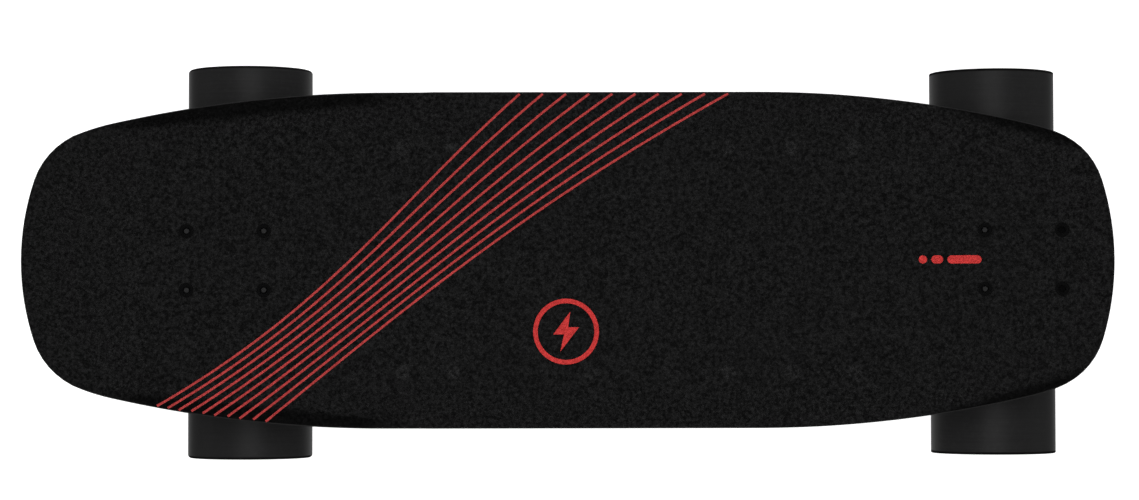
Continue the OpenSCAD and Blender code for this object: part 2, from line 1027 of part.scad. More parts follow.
module cable_glands() {
    wall_x = tray_x - tray_body_l / 2;
    color([0.08, 0.08, 0.08])
        for (s = [-1, 1])
            translate([0, s * gland_y, gland_z])
                rotate([0, 90, 0])
                    translate([0, 0, wall_x])
                        difference() {
                            union() {
                                translate([0, 0, -4])
                                    cylinder(r = 9, h = 4, $fn = 6);
                                translate([0, 0, -11])
                                    cylinder(r1 = 5.6, r2 = 7.2, h = 7);
                                translate([0, 0, -1])
                                    cylinder(r = 4.9, h = tray_wall + 1);
                            }
                            translate([0, 0, -20])
                                cylinder(r = cable_r + 0.15, h = 40);
                        }
}

module cable_clips() {
    color([0.35, 0.35, 0.37])
        for (s = [0, 1])
            mirror([0, s, 0])
                translate([-214.5, 0, 50])
                    difference() {
                        union() {
                            rod_y(5.6, 68, 72);
                            box(-8.2, 0, 68, 72, -4, 1);
                        }
                        rod_y(cable_r + 0.6, 60, 80);
                        translate([-18.2, 0, -5])
                            rod_y(11.4, 60, 80);
                    }
}

// ---------------------------------------------------------------- motor cables

function unit(v) = v / norm(v);

function tangent(path, i) =
    unit(path[min(i + 1, len(path) - 1)] - path[max(i - 1, 0)]);

function cable_ring(path, i, r, n) =
    let (
        t = tangent(path, i),
        u = unit(cross(t, [0.2, 0.1, 1])),
        v = cross(t, u)
    )
    [for (k = [0:n - 1]) path[i] + r * (cos(360 * k / n) * u + sin(360 * k / n) * v)];

module cable(path, r, n = 8) {
    rings = len(path);
    points = [for (i = [0:rings - 1]) each cable_ring(path, i, r, n)];
    sides = [
        for (i = [0:rings - 2])
            for (k = [0:n - 1])
                let (a = i * n + k, b = i * n + (k + 1) % n)
                each [[a, b, a + n], [b, b + n, a + n]]
    ];
    first = [for (k = [n - 1:-1:0]) k];
    last = [for (k = [0:n - 1]) (rings - 1) * n + k];
    polyhedron(points, concat(sides, [first, last]), convexity = 4);
}

module left_motor_cable() {
    color([0.05, 0.05, 0.05])
        cable(cable_path, cable_r);
}

module right_motor_cable() {
    color([0.05, 0.05, 0.05])
        mirror([0, 1, 0])
            cable(cable_path, cable_r);
}

deck();
grip_tape();
riser_pads();
front_baseplate();
rear_baseplate();
pivot_cups();
kingpins();
kingpin_nuts();
kingpin_washers();
front_bushings();
rear_bushings();
truck_bolts();
truck_nuts();
enclosure_tray();
enclosure_gasket();
enclosure_screws();
enclosure_inserts();
battery_cells();
cell_holders();
nickel_strips();
battery_board();
esc_board();
esc_heat_sink();
esc_capacitors();
power_button_bezel();
power_button();
power_switch();
charge_socket();
charge_cap();
status_light_lens();
battery_lead();
cable_glands();
cable_clips();
left_motor_cable();
right_motor_cable();
front_hanger();
front_axle();
front_speed_washers();
front_axle_nuts();
rear_hanger();
motor_axles();
motor_stators();
motor_windings();
rear_axle_nuts();
front_tyre(1);  // front_left_tyre
front_core(1);  // front_left_core
front_bearings(1);  // front_left_bearings
front_tyre(-1);  // front_right_tyre
front_core(-1);  // front_right_core
front_bearings(-1);  // front_right_bearings
rear_tyre(1);  // rear_left_tyre
motor_can(1);  // rear_left_motor_can
magnet_ring(1);  // rear_left_magnets
motor_cover(1);  // rear_left_motor_cover
rear_bearings(1);  // rear_left_bearings
rear_tyre(-1);  // rear_right_tyre
motor_can(-1);  // rear_right_motor_can
magnet_ring(-1);  // rear_right_magnets
motor_cover(-1);  // rear_right_motor_cover
rear_bearings(-1);  // rear_right_bearings
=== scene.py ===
import json
import math

import bmesh
import bpy
from mathutils import Matrix, Vector


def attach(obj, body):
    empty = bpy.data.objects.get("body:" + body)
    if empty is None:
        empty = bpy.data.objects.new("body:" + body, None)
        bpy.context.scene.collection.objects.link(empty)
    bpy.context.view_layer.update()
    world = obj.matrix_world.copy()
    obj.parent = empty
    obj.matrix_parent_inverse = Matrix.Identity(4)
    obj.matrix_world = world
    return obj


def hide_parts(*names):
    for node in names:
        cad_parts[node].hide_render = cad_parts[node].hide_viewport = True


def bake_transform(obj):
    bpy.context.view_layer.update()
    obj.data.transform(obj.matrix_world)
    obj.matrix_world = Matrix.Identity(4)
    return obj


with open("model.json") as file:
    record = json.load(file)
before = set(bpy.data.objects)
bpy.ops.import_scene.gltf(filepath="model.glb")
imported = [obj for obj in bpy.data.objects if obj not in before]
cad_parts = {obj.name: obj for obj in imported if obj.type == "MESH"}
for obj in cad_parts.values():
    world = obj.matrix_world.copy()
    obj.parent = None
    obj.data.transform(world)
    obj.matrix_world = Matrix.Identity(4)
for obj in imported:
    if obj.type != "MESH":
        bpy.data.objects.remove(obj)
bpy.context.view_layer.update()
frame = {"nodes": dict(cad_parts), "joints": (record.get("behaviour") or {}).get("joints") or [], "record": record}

MM = 0.001

# ---------------------------------------------------------------- driving sizes, in millimetres

# The deck's plan: arcs from the tip to the side, each (radius, degrees turned)
DECK_LENGTH = 762
OUTLINE_ARCS = ((190, 17.1), (53.25, 51.9), (149, 8.1), (850, 12.9))
STRAIGHT_STEPS = 30

# Heights from the ground, and the curl of the rails
DECK_UNDER, DECK_TOP, GRIP_TOP = 122, 133, 134
FLAT_HALF, RAIL_RADIUS = 88, 95
KICK_X, KICK_RADIUS = -294.5, 200

# Wheel-arch bevels: X of the middle, Y of the inner line, slope in degrees
BEVELS = ((-221.5, 106.7, 5.9), (304.5, 93.2, -16))
BEVEL_TILT, BEVEL_REACH = 20, 120

# Painted shade on the tape beside the wheel arches: X and Y of a line, its slope, the band's reach
# along it, the width of the fade, and how far out the darkest part starts
PAINTED_SHADE_BANDS = ((-221.5, 97.7, 5.9, 115, 5, 2.6), (304.5, 89.0, -16, 100, 6, 4.0))

# Enclosure screws show as low domes under the tape
SCREW_X = (-117.5, -82.5, 13.5, 110, 154.5, 198.5)
SCREW_Y = 78.4

# Trucks: X of the axle, and which way the truck's outer side faces
joints = {joint["name"]: joint for joint in frame["joints"]}
FRONT_X = joints["front_left_spin"]["pos_m"][0] / MM
REAR_X = joints["rear_left_spin"]["pos_m"][0] / MM
TRUCKS = {"front": (FRONT_X, 1), "rear": (REAR_X, -1)}
BOLT_DX, BOLT_DY, BOLT_SHIFT = 53.98, 41.28, 9
BORE_R, SINK_R, TAPE_HOLE_R = 2.6, 5.3, 5.35
AXLE_Z = 45
WHEEL_R = 45
FRONT_IN, REAR_IN, WHEEL_W = 86.25, 88.75, 52

# Steering axis, at 45 degrees: how far the pivot lies inboard of the axle, its height, and the
# way along the axis from the pivot to the hanger's ring
PIVOT_BACK, PIVOT_Z, RING_REACH = 24, 38, 48

# Axle nuts: how far their faces lie outboard of a wheel's inner side
NUT_OUT = 35.1


# ---------------------------------------------------------------- materials

def node_material(name):
    """An empty node material: the tree, its Principled shader and a texture coordinate in object space."""
    material = bpy.data.materials.new(name)
    material.use_nodes = True
    tree = material.node_tree
    shader = tree.nodes["Principled BSDF"]
    coords = tree.nodes.new("ShaderNodeTexCoord")
    return material, tree, shader, coords.outputs["Object"]


def noise(tree, vector, scale, detail=3.0, rough=0.55, stretch=None):
    """A noise texture, stretched along an axis if asked. Scale is in features a metre."""
    if stretch:
        mapping = tree.nodes.new("ShaderNodeMapping")
        mapping.inputs["Scale"].default_value = stretch
        tree.links.new(vector, mapping.inputs["Vector"])
        vector = mapping.outputs["Vector"]
    node = tree.nodes.new("ShaderNodeTexNoise")
    node.inputs["Scale"].default_value = scale
    node.inputs["Detail"].default_value = detail
    node.inputs["Roughness"].default_value = rough
    tree.links.new(vector, node.inputs["Vector"])
    return node.outputs["Fac"]


def ramp(tree, value, stops):
    """A colour ramp with stops given as (place, colour or grey)."""
    node = tree.nodes.new("ShaderNodeValToRGB")
    elements = node.color_ramp.elements
    while len(elements) < len(stops):
        elements.new(0.5)
    for element, (place, colour) in zip(elements, stops):
        element.position = place
        if isinstance(colour, (int, float)):
            colour = (colour, colour, colour)
        element.color = (*colour, 1)
    tree.links.new(value, node.inputs["Fac"])
    return node.outputs["Color"]


def mix(tree, factor, a, b, mode="MIX"):
    """Mixes two colours. Each of factor, a and b is a socket or a plain value."""
    node = tree.nodes.new("ShaderNodeMix")
    node.data_type = "RGBA"
    node.blend_type = mode
    for socket, value in ((0, factor), (6, a), (7, b)):
        if isinstance(value, bpy.types.NodeSocket):
            tree.links.new(value, node.inputs[socket])
        elif socket == 0:
            node.inputs[0].default_value = value
        else:
            node.inputs[socket].default_value = (*value, 1)
    return node.outputs[2]


def bump(tree, shader, heights):
    """Chains bumps: heights is a list of (socket, strength, distance in metres)."""
    last = None
    for socket, strength, distance in heights:
        node = tree.nodes.new("ShaderNodeBump")
        node.inputs["Strength"].default_value = strength
        node.inputs["Distance"].default_value = distance
        tree.links.new(socket, node.inputs["Height"])
        if last:
            tree.links.new(last, node.inputs["Normal"])
        last = node.outputs["Normal"]
    tree.links.new(last, shader.inputs["Normal"])


def dress(tree, shader, base, roughness, heights, specular=0.5):
    """Gives the shader its colour and roughness sockets, its bumps and how strongly it reflects."""
    tree.links.new(base, shader.inputs["Base Color"])
    tree.links.new(roughness, shader.inputs["Roughness"])
    shader.inputs["Specular IOR Level"].default_value = specular
    bump(tree, shader, heights)


def finish_material(name, colour, roughness, metallic=0.0, grain=900, patch=25, spread=0.25,
                    grain_bump=0.15, stretch=None, wear=None, specular=0.5):
    """A general finish: mottled colour, uneven roughness, a fine grain, and paler worn edges."""
    material, tree, shader, place = node_material(name)
    fine = noise(tree, place, grain, 4.0, 0.6, stretch)
    broad = noise(tree, place, patch, 4.0, 0.6)
    dark = tuple(c * (1 - spread) for c in colour)
    light = tuple(min(1.0, c * (1 + spread)) for c in colour)
    base = mix(tree, ramp(tree, broad, ((0.3, 0.0), (0.7, 1.0))), dark, light)
    speck = mix(tree, ramp(tree, fine, ((0.35, 0.0), (0.75, 1.0))), dark, light)
    base = mix(tree, 0.45, base, speck)
    if wear:
        edge = tree.nodes.new("ShaderNodeNewGeometry").outputs["Pointiness"]
        broken = mix(tree, 0.5, ramp(tree, edge, ((0.52, 0.0), (0.60, 1.0))), (0, 0, 0))
        scuffs = ramp(tree, fine, ((0.45, 0.0), (0.62, 1.0)))
        base = mix(tree, mix(tree, 1.0, broken, scuffs, "MULTIPLY"), base, wear)
    low, high = max(0.02, roughness - 0.08), min(1.0, roughness + 0.08)
    shader.inputs["Metallic"].default_value = metallic
    dress(tree, shader, base, ramp(tree, broad, ((0.25, low), (0.75, high))),
          [(fine, grain_bump, 0.0002), (broad, grain_bump * 0.5, 0.0004)], specular)
    return material


def grit_material(name, dark, light, red=False):
    """Mineral grit: sharp grains about half a millimetre across, each its own tone, with painted shade in the
    hollows between clumps and, on the black tape, beside the wheel arches.
    """
    material, tree, shader, place = node_material(name)
    grains = tree.nodes.new("ShaderNodeTexVoronoi")
    grains.inputs["Scale"].default_value = 1500
    tree.links.new(place, grains.inputs["Vector"])
    grain_tone = tree.nodes.new("ShaderNodeSeparateColor")
    tree.links.new(grains.outputs["Color"], grain_tone.inputs["Color"])
    clumps = noise(tree, place, 400, 1.5, 0.6)
    drift = noise(tree, place, 9, 3.0, 0.6)
    tone = mix(tree, ramp(tree, grain_tone.outputs["Red"], ((0.1, 0.0), (0.95, 1.0))), dark, light)
    low = tuple(c * 0.72 for c in dark)
    # Painted shade in the hollows between grit clumps, where the surface lies low; fainter on the red marks
    hollow_shade = 0.75 if red else 0.18
    tone = mix(tree, 1.0, tone, ramp(tree, clumps, ((0.34, hollow_shade), (0.68, 1.0))), "MULTIPLY")
    tone = mix(tree, ramp(tree, drift, ((0.3, 0.22), (0.7, 0.0))), tone, low)
    if not red:
        # Painted shade on the black tape beside the wheel arches, as strong as each mesh point stores
        shade = tree.nodes.new("ShaderNodeAttribute")
        shade.attribute_name = "painted_edge_shade"
        painted_shade = ramp(tree, shade.outputs["Fac"], ((0.0, 1.0), (0.5, 0.55), (1.0, 0.22)))
        tone = mix(tree, 1.0, tone, painted_shade, "MULTIPLY")
    gloss = ramp(tree, grain_tone.outputs["Green"], ((0.0, 0.95), (0.86, 0.8), (1.0, 0.35)))
    dress(tree, shader, tone, gloss,
          [(grains.outputs["Distance"], 0.55, 0.0003), (clumps, 0.35, 0.0004)], 0.04)
    return material


def urethane_material(name, colour):
    """Cast wheel urethane with faint turning lines round the axle, and painted shade on the lips."""
    material, tree, shader, place = node_material(name)
    lines = noise(tree, place, 900, 2.0, 0.6, stretch=(0.02, 1.0, 0.02))
    dust = noise(tree, place, 300, 5.0, 0.7)
    broad = noise(tree, place, 18, 3.0, 0.5)
    light = tuple(c * 1.15 for c in colour)
    dark = tuple(c * 0.88 for c in colour)
    base = mix(tree, ramp(tree, lines, ((0.3, 0.0), (0.7, 1.0))), dark, light)
    base = mix(tree, ramp(tree, dust, ((0.5, 0.0), (0.8, 0.5))), base, tuple(c * 1.8 for c in colour))
    base = mix(tree, ramp(tree, broad, ((0.3, 0.0), (0.7, 0.35))), base, dark)
    lip = tree.nodes.new("ShaderNodeAttribute")
    lip.attribute_name = "painted_edge_shade"
    # Painted shade on the tread's lips: the colour falls to a fifth where the mesh marks them
    base = mix(tree, lip.outputs["Fac"], base, tuple(c * 0.2 for c in colour))
    sheen = mix(tree, lip.outputs["Fac"], ramp(tree, lines, ((0.2, 0.37), (0.8, 0.44))), (1, 1, 1))
    dress(tree, shader, base, sheen, [(lines, 0.06, 0.0003), (dust, 0.10, 0.0002)], 0.065)
    return material


def ply_material(name):
    """The black-stained edge and underside of a maple laminate: long grain and fine ply lines."""
    material, tree, shader, place = node_material(name)
    grain = noise(tree, place, 60, 6.0, 0.65, stretch=(0.06, 1.0, 1.0))
    fibre = noise(tree, place, 900, 3.0, 0.6, stretch=(0.04, 1.0, 1.0))
    plies = tree.nodes.new("ShaderNodeTexWave")
    plies.wave_type = "BANDS"
    plies.bands_direction = "Z"
    plies.inputs["Scale"].default_value = 100
    plies.inputs["Distortion"].default_value = 0.4
    tree.links.new(place, plies.inputs["Vector"])
    stain, worn, glue = (0.0045, 0.0045, 0.0047), (0.011, 0.0105, 0.0105), (0.003, 0.003, 0.003)
    base = mix(tree, ramp(tree, grain, ((0.3, 0.0), (0.7, 1.0))), stain, worn)
    base = mix(tree, ramp(tree, fibre, ((0.5, 0.0), (0.8, 0.5))), base, (0.018, 0.017, 0.0165))
    base = mix(tree, ramp(tree, plies.outputs["Fac"], ((0.02, 0.55), (0.14, 0.0))), base, glue)
    dress(tree, shader, base, ramp(tree, grain, ((0.3, 0.55), (0.7, 0.75))),
          [(fibre, 0.2, 0.0002), (grain, 0.15, 0.0003)], 0.12)
    return material


def braid_material(name):
    """A woven black sleeve."""
    material, tree, shader, place = node_material(name)
    weave = tree.nodes.new("ShaderNodeTexChecker")
    weave.inputs["Scale"].default_value = 900
    turn = tree.nodes.new("ShaderNodeMapping")
    turn.inputs["Rotation"].default_value = (math.radians(45), math.radians(35), math.radians(45))
    tree.links.new(place, turn.inputs["Vector"])
    tree.links.new(turn.outputs["Vector"], weave.inputs["Vector"])
    fibre = noise(tree, place, 1400, 3.0, 0.6)
    base = mix(tree, weave.outputs["Fac"], (0.006, 0.006, 0.006), (0.022, 0.022, 0.023))
    base = mix(tree, ramp(tree, fibre, ((0.4, 0.0), (0.8, 0.5))), base, (0.035, 0.035, 0.036))
    dress(tree, shader, base, ramp(tree, fibre, ((0.3, 0.45), (0.7, 0.7))),
          [(weave.outputs["Fac"], 0.3, 0.0003), (fibre, 0.2, 0.0002)])
    return material


def build_materials():
    """A finish for each of the record's material slots."""
    black = (0.012, 0.012, 0.0125)
    finishes = {
        "carbon_deck": ply_material("black_laminate"),
        "grip": grit_material("grip_grit", (0.0072, 0.0072, 0.0073), (0.0192, 0.0192, 0.0195)),
        "cable_black": braid_material("cable_braid"),
        "tyre_urethane": urethane_material("wheel_urethane", (0.0165, 0.0165, 0.0167)),
    }

    def plain(slot, *look, **details):
        finishes[slot] = finish_material(slot, *look, **details)

    plain("riser_rubber", black, 0.75, grain=700)
    plain("cast_black", (0.030, 0.030, 0.0315), 0.4, grain=1400, grain_bump=0.4, wear=(0.25, 0.25, 0.26))
    plain("pivot_urethane", (0.55, 0.55, 0.52), 0.5, grain=500)
    plain("zinc_steel", (0.46, 0.47, 0.49), 0.3, 1.0, grain=2400, spread=0.1, grain_bump=0.06,
          wear=(0.66, 0.67, 0.69))
    plain("black_steel", (0.016, 0.016, 0.017), 0.38, 0.6, grain=1500, wear=(0.30, 0.30, 0.31))
    plain("bushing_urethane", (0.050, 0.050, 0.052), 0.4, grain=400)
    plain("tray_plastic", (0.014, 0.014, 0.0145), 0.55, grain=1600, grain_bump=0.5, spread=0.2)
    plain("gasket_rubber", (0.008, 0.008, 0.008), 0.8, grain=800)
    plain("brass_insert", (0.60, 0.44, 0.18), 0.3, 1.0, grain=1500)
    plain("cell_wrap", (0.05, 0.20, 0.42), 0.35, grain=600)
    plain("holder_plastic", black, 0.6)
    plain("nickel", (0.62, 0.61, 0.57), 0.28, 1.0, grain=1500)
    plain("green_board", (0.01, 0.12, 0.04), 0.35, grain=400, spread=0.35)
    plain("blue_board", (0.01, 0.05, 0.10), 0.35, grain=400, spread=0.35)
    plain("heat_sink", (0.05, 0.05, 0.053), 0.38, 0.9, grain=900, stretch=(0.05, 1, 1),
          wear=(0.5, 0.5, 0.52))
    plain("capacitor_sleeve", (0.01, 0.015, 0.08), 0.25, grain=500)
    plain("bezel_metal", (0.40, 0.41, 0.42), 0.25, 1.0, grain=2200, grain_bump=0.05, spread=0.12)
    plain("button_plastic", (0.02, 0.02, 0.02), 0.4, grain=900)
    plain("socket_plastic", (0.012, 0.012, 0.012), 0.45, grain=900)
    plain("cap_rubber", (0.010, 0.010, 0.010), 0.7, grain=900, grain_bump=0.3)
    plain("lens", (0.55, 0.60, 0.64), 0.2, grain=300, spread=0.1)
    plain("lead_red", (0.35, 0.01, 0.01), 0.35, grain=500)
    plain("gland_plastic", (0.014, 0.014, 0.014), 0.45, grain=900)
    plain("core_plastic", (0.028, 0.028, 0.030), 0.38, grain=1200, grain_bump=0.1)
    plain("bearing_steel", (0.55, 0.56, 0.58), 0.2, 1.0, grain=1500, spread=0.15)
    plain("motor_metal", (0.045, 0.045, 0.047), 0.4, 0.75, grain=2600, grain_bump=0.08, spread=0.15,
          wear=(0.22, 0.22, 0.23))
    plain("magnet", (0.5, 0.5, 0.52), 0.25, 1.0, grain=1200)
    plain("stator_steel", (0.20, 0.20, 0.21), 0.4, 0.9, grain=1500, stretch=(0.1, 1, 0.1))
    plain("copper", (0.58, 0.24, 0.07), 0.3, 1.0, grain=1800, stretch=(1, 0.05, 1))
    return finishes


materials = build_materials()
red_grit = grit_material("red_grit", (0.52, 0.036, 0.034), (0.78, 0.062, 0.060), red=True)
line_red = grit_material("line_red", (0.39, 0.041, 0.040), (0.58, 0.070, 0.068), red=True)
# Lighter grit for the domes over the inserts: a painted highlight where the swellings catch the light
raised_grit_painted_highlight = grit_material("raised_grit_painted_highlight", (0.0120, 0.0120, 0.0122), (0.0280, 0.0280, 0.0283))

for entry in frame["record"]["subparts"]:
    node = frame["nodes"][entry["node"]]
    node.data.materials.clear()
    node.data.materials.append(materials[entry["material_slot"]])


# ---------------------------------------------------------------- mesh helpers

def put_in_scene(piece):
    bpy.context.scene.collection.objects.link(piece)


def mesh_object(name, verts, faces):
    """An object from points in millimetres, with doubled points joined and its faces turned outwards."""
    mesh = bpy.data.meshes.new(name)
    mesh.from_pydata([Vector(v) * MM for v in verts], [], faces)
    cleaner = bmesh.new()
    cleaner.from_mesh(mesh)
    bmesh.ops.remove_doubles(cleaner, verts=cleaner.verts, dist=1e-6)
    bmesh.ops.recalc_face_normals(cleaner, faces=cleaner.faces)
    cleaner.to_mesh(mesh)
    cleaner.free()
    piece = bpy.data.objects.new(name, mesh)
    put_in_scene(piece)
    return piece


def add_piece(name, verts, faces, slot, body, replaces=(), material=None, smooth_angle=40):
    """A piece with its finish, body and the CAD nodes it stands for. Without a body it is left unattached."""
    piece = mesh_object(name, verts, faces)
    piece.data.shade_smooth()
    piece.data.set_sharp_from_angle(angle=math.radians(smooth_angle))
    piece.data.materials.append(material or materials[slot])
    if body:
        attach(piece, body)
    if replaces:
        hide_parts(*replaces)
    return piece


def join_rings(rings):
    """Points and quads through closed rings of equal length, open at both ends."""
    n = len(rings[0])
    verts = [p for ring in rings for p in ring]
    faces = []
    for k in range(len(rings) - 1):
        for i in range(n):
            j = (i + 1) % n
            faces.append((k * n + i, k * n + j, (k + 1) * n + j, (k + 1) * n + i))
    return verts, faces


def capped(rings):
    """A solid through rings, closed with a flat face at each end."""
    verts, faces = join_rings(rings)
    n = len(rings[0])
    faces.append(tuple(reversed(range(n))))
    faces.append(tuple(range(len(verts) - n, len(verts))))
    return verts, faces


def merge(parts):
    """Joins several (verts, faces) pairs into one."""
    verts, faces = [], []
    for some_verts, some_faces in parts:
        start = len(verts)
        verts += some_verts
        faces += [tuple(start + i for i in face) for face in some_faces]
    return verts, faces


def arc(centre, radius, start, end, steps):
    """Points on an arc, angles in degrees."""
    return [
        (centre[0] + radius * math.cos(math.radians(start + (end - start) * i / steps)),
         centre[1] + radius * math.sin(math.radians(start + (end - start) * i / steps)))
        for i in range(steps + 1)
    ]


def lathe_y(profile, centre, steps=160):
    """Turns a closed (radius, y) profile round an axle along Y, in millimetres."""
    rings = []
    for k in range(steps):
        a = 2 * math.pi * k / steps
        rings.append([(centre[0] + r * math.sin(a), y, centre[1] + r * math.cos(a)) for r, y in profile])
    return join_rings(rings + rings[:1])


def turned(profile, origin, axis, steps=64):
    """Turns a (radius, height) profile round an axis. A radius may be a function of the angle in degrees.
    Ends on the axis close themselves; any other profile is a closed loop."""
    w = Vector(axis).normalized()
    u = w.orthogonal().normalized()
    v = w.cross(u)
    rings = []
    for r, h in profile:
        ring = []
        for k in range(steps):
            a = 360 * k / steps
            radius = r(a) if callable(r) else r
            rise = h(a) if callable(h) else h
            side = u * math.cos(math.radians(a)) + v * math.sin(math.radians(a))
            ring.append(tuple(Vector(origin) + side * radius + w * rise))
        rings.append(ring)
    on_axis = all(not callable(r) and r == 0 for r, h in (profile[0], profile[-1]))
    return join_rings(rings if on_axis else rings + rings[:1])


def hexagon(across):
    """Radius of a hexagon of that width across its flats, as a function of the angle."""
    return lambda a: across / 2 / math.cos(math.radians(a % 60 - 30))


def build_nut(origin, axis, across, height, bore, washer=0.0):
    """A hexagon nut with chamfered corners at its far face, and a washer face if asked."""
    flat = across / 2
    side = hexagon(across)
    tan30 = math.tan(math.radians(30))

    def cut(limit):
        return lambda a: min(side(a), limit)

    def drop(limit):
        return lambda a: height - (min(side(a), limit) - flat) * tan30

    profile = [(bore, height - 0.6), (bore + 0.5, height), (flat * 0.97, height)]
    for share in (0.0, 0.35, 0.7, 1.0):
        limit = flat + (flat / math.cos(math.radians(30)) - flat) * share
        profile.append((cut(limit), drop(limit)))
    if washer:
        profile += [(side, washer), (flat * 1.0, washer), (flat * 1.28, washer), (flat * 1.28, 0)]
    else:
        profile += [(side, 0.0)]
    profile += [(bore + 0.5, 0.0), (bore, 0.6)]
    return turned(profile, origin, axis, 96)


def build_tube(path, radius, sides=20, spacing=2.0):
    """A smooth round tube through points, with closed ends."""
    points = smooth_path(path, spacing)
    rings = []
    side = Vector((0.2, 0.1, 1))
    for i, p in enumerate(points):
        along = (points[min(i + 1, len(points) - 1)] - points[max(i - 1, 0)]).normalized()
        side = (side - along * side.dot(along)).normalized()
        other = along.cross(side)
        rings.append([
            tuple(p + (side * math.cos(a) + other * math.sin(a)) * radius)
            for a in (2 * math.pi * k / sides for k in range(sides))
        ])
    return join_rings([[tuple(points[0])] * sides] + rings + [[tuple(points[-1])] * sides])


def smooth_path(path, spacing):
    """Points about spacing apart on a smooth curve through the given ones."""
    knots = [Vector(p) for p in path]
    knots = [knots[0] * 2 - knots[1]] + knots + [knots[-1] * 2 - knots[-2]]
    points = []
    for a, b, c, d in zip(knots, knots[1:], knots[2:], knots[3:]):
        steps = max(2, round((c - b).length / spacing))
        for k in range(steps):
            t = k / steps
            points.append(0.5 * (2 * b + (c - a) * t + (2 * a - 5 * b + 4 * c - d) * t ** 2
                                 + (3 * b - a - 3 * c + d) * t ** 3))
    return points + [knots[-2]]


def baked_mesh(piece):
    """The piece's mesh with its modifiers applied, back in millimetres as (verts, faces)."""
    bpy.context.view_layer.update()
    graph = bpy.context.evaluated_depsgraph_get()
    mesh = piece.evaluated_get(graph).to_mesh()
    verts = [tuple(v.co / MM) for v in mesh.vertices]
    faces = [tuple(p.vertices) for p in mesh.polygons]
    piece.evaluated_get(graph).to_mesh_clear()
    return verts, faces


def combine(shape, operation, tools):
    """Cuts tools from a shape, or joins them to it, and gives one tidy solid."""
    base = mesh_object("temporary", *shape)
    held = [base]
    for tool_shape in tools:
        tool = mesh_object("temporary", *tool_shape)
        held.append(tool)
        modifier = base.modifiers.new("boolean", "BOOLEAN")
        modifier.operation = operation
        modifier.solver = "EXACT"
        modifier.object = tool
    result = baked_mesh(base)
    for piece in held:
        bpy.data.objects.remove(piece)
    return result


def cylinder(x, y, r_low, r_high, z0, z1, steps=32):
    return turned([(0, z0), (r_low, z0), (r_high, z1), (0, z1)], (x, y, 0), (0, 0, 1), steps)


def soften(node, voxel=1.1, rounds=6):
    """A casting's skin: the CAD node's shape with its corners and joints rounded over."""
    piece = frame["nodes"][node].copy()
    piece.data = piece.data.copy()
    put_in_scene(piece)
    remesh = piece.modifiers.new("remesh", "REMESH")
    remesh.mode = "VOXEL"
    remesh.voxel_size = voxel * MM
    smooth = piece.modifiers.new("smooth", "SMOOTH")
    smooth.factor = 0.5
    smooth.iterations = rounds
    result = baked_mesh(piece)
    bpy.data.objects.remove(piece)
    return result


# ---------------------------------------------------------------- the deck's surface

def outline(inset):
    """The deck's plan, pulled in by inset: a closed loop of points."""
    x, y, heading = DECK_LENGTH / 2 - inset, 0.0, 0.0
    quarter = [(x, y)]
    for radius, turn in OUTLINE_ARCS:
        r = radius - inset
        steps = max(4, round(math.radians(turn) * radius / 7))
        start_x, start_y, start = x, y, heading
        for i in range(1, steps + 1):
            a0, a1 = math.radians(start), math.radians(start + turn * i / steps)
            x = start_x - r * (math.cos(a0) - math.cos(a1))
            y = start_y + r * (math.sin(a1) - math.sin(a0))
            quarter.append((x, y))
        heading = start + turn
    side = [(x - 2 * x * i / STRAIGHT_STEPS, y) for i in range(1, STRAIGHT_STEPS)]
    left = [(-px, py) for px, py in reversed(quarter)]
    top = quarter + side + left
    return top + [(px, -py) for px, py in reversed(top[1:-1])]


def half_width(x):
    """Half the deck's width at a place along it."""
    loop = [p for p in outline(0) if p[1] >= 0]
    for (xa, ya), (xb, yb) in zip(loop, loop[1:]):
        if xb <= x <= xa:
            return ya + (yb - ya) * (xa - x) / max(xa - xb, 1e-9)
    return 0.0


def rail_rise(y):
    """How far the curled rails lift the surface, that far from the centre line."""
    out = max(0.0, abs(y) - FLAT_HALF)
    return RAIL_RADIUS - math.sqrt(RAIL_RADIUS ** 2 - out * out)


def swept_height(x, y, base):
    """Height of a surface that lies at base on the level middle of the deck."""
    centre = DECK_TOP + KICK_RADIUS
    r = centre - base - rail_rise(y)
    back = max(0.0, KICK_X - x)
    return centre - math.sqrt(r * r - back * back)


def distance_out(along, out, slope):
    """How far a place lies beyond a sloping line, from its offsets along and out from the line's middle."""
    a = math.radians(slope)
    return out * math.cos(a) - along * math.sin(a)


def bevel_height(x, y):
    """Height of the lowest wheel-arch bevel plane over a place."""
    lowest = math.inf
    for bx, by, slope in BEVELS:
        if abs(x - bx) <= BEVEL_REACH:
            out = distance_out(x - bx, abs(y) - by, slope)
            plane = GRIP_TOP + rail_rise(by) - out * math.tan(math.radians(BEVEL_TILT))
            lowest = min(lowest, plane)
    return lowest


def grip_height(x, y):
    return min(swept_height(x, y, GRIP_TOP), bevel_height(x, y))


def wood_height(x, y):
    return min(swept_height(x, y, DECK_TOP), bevel_height(x, y) - 1.0)


def spine_ring(loop, share, spine_half=286):
    """The loop drawn in towards a line along the deck's middle: share 1 leaves it, share 0 is the line."""
    return [(x * share + max(-spine_half, min(spine_half, x)) * (1 - share), y * share) for x, y in loop]


def surface_rings(inset, steps, height):
    """Rings from the centre line out to the given inset, on a surface."""
    loop = outline(inset)
    return [[(x, y, height(x, y)) for x, y in spine_ring(loop, k / steps)] for k in range(steps)]


def inset_ring(inset, height, drop=0.0):
    return [(x, y, height(x, y) - drop) for x, y in outline(inset)]


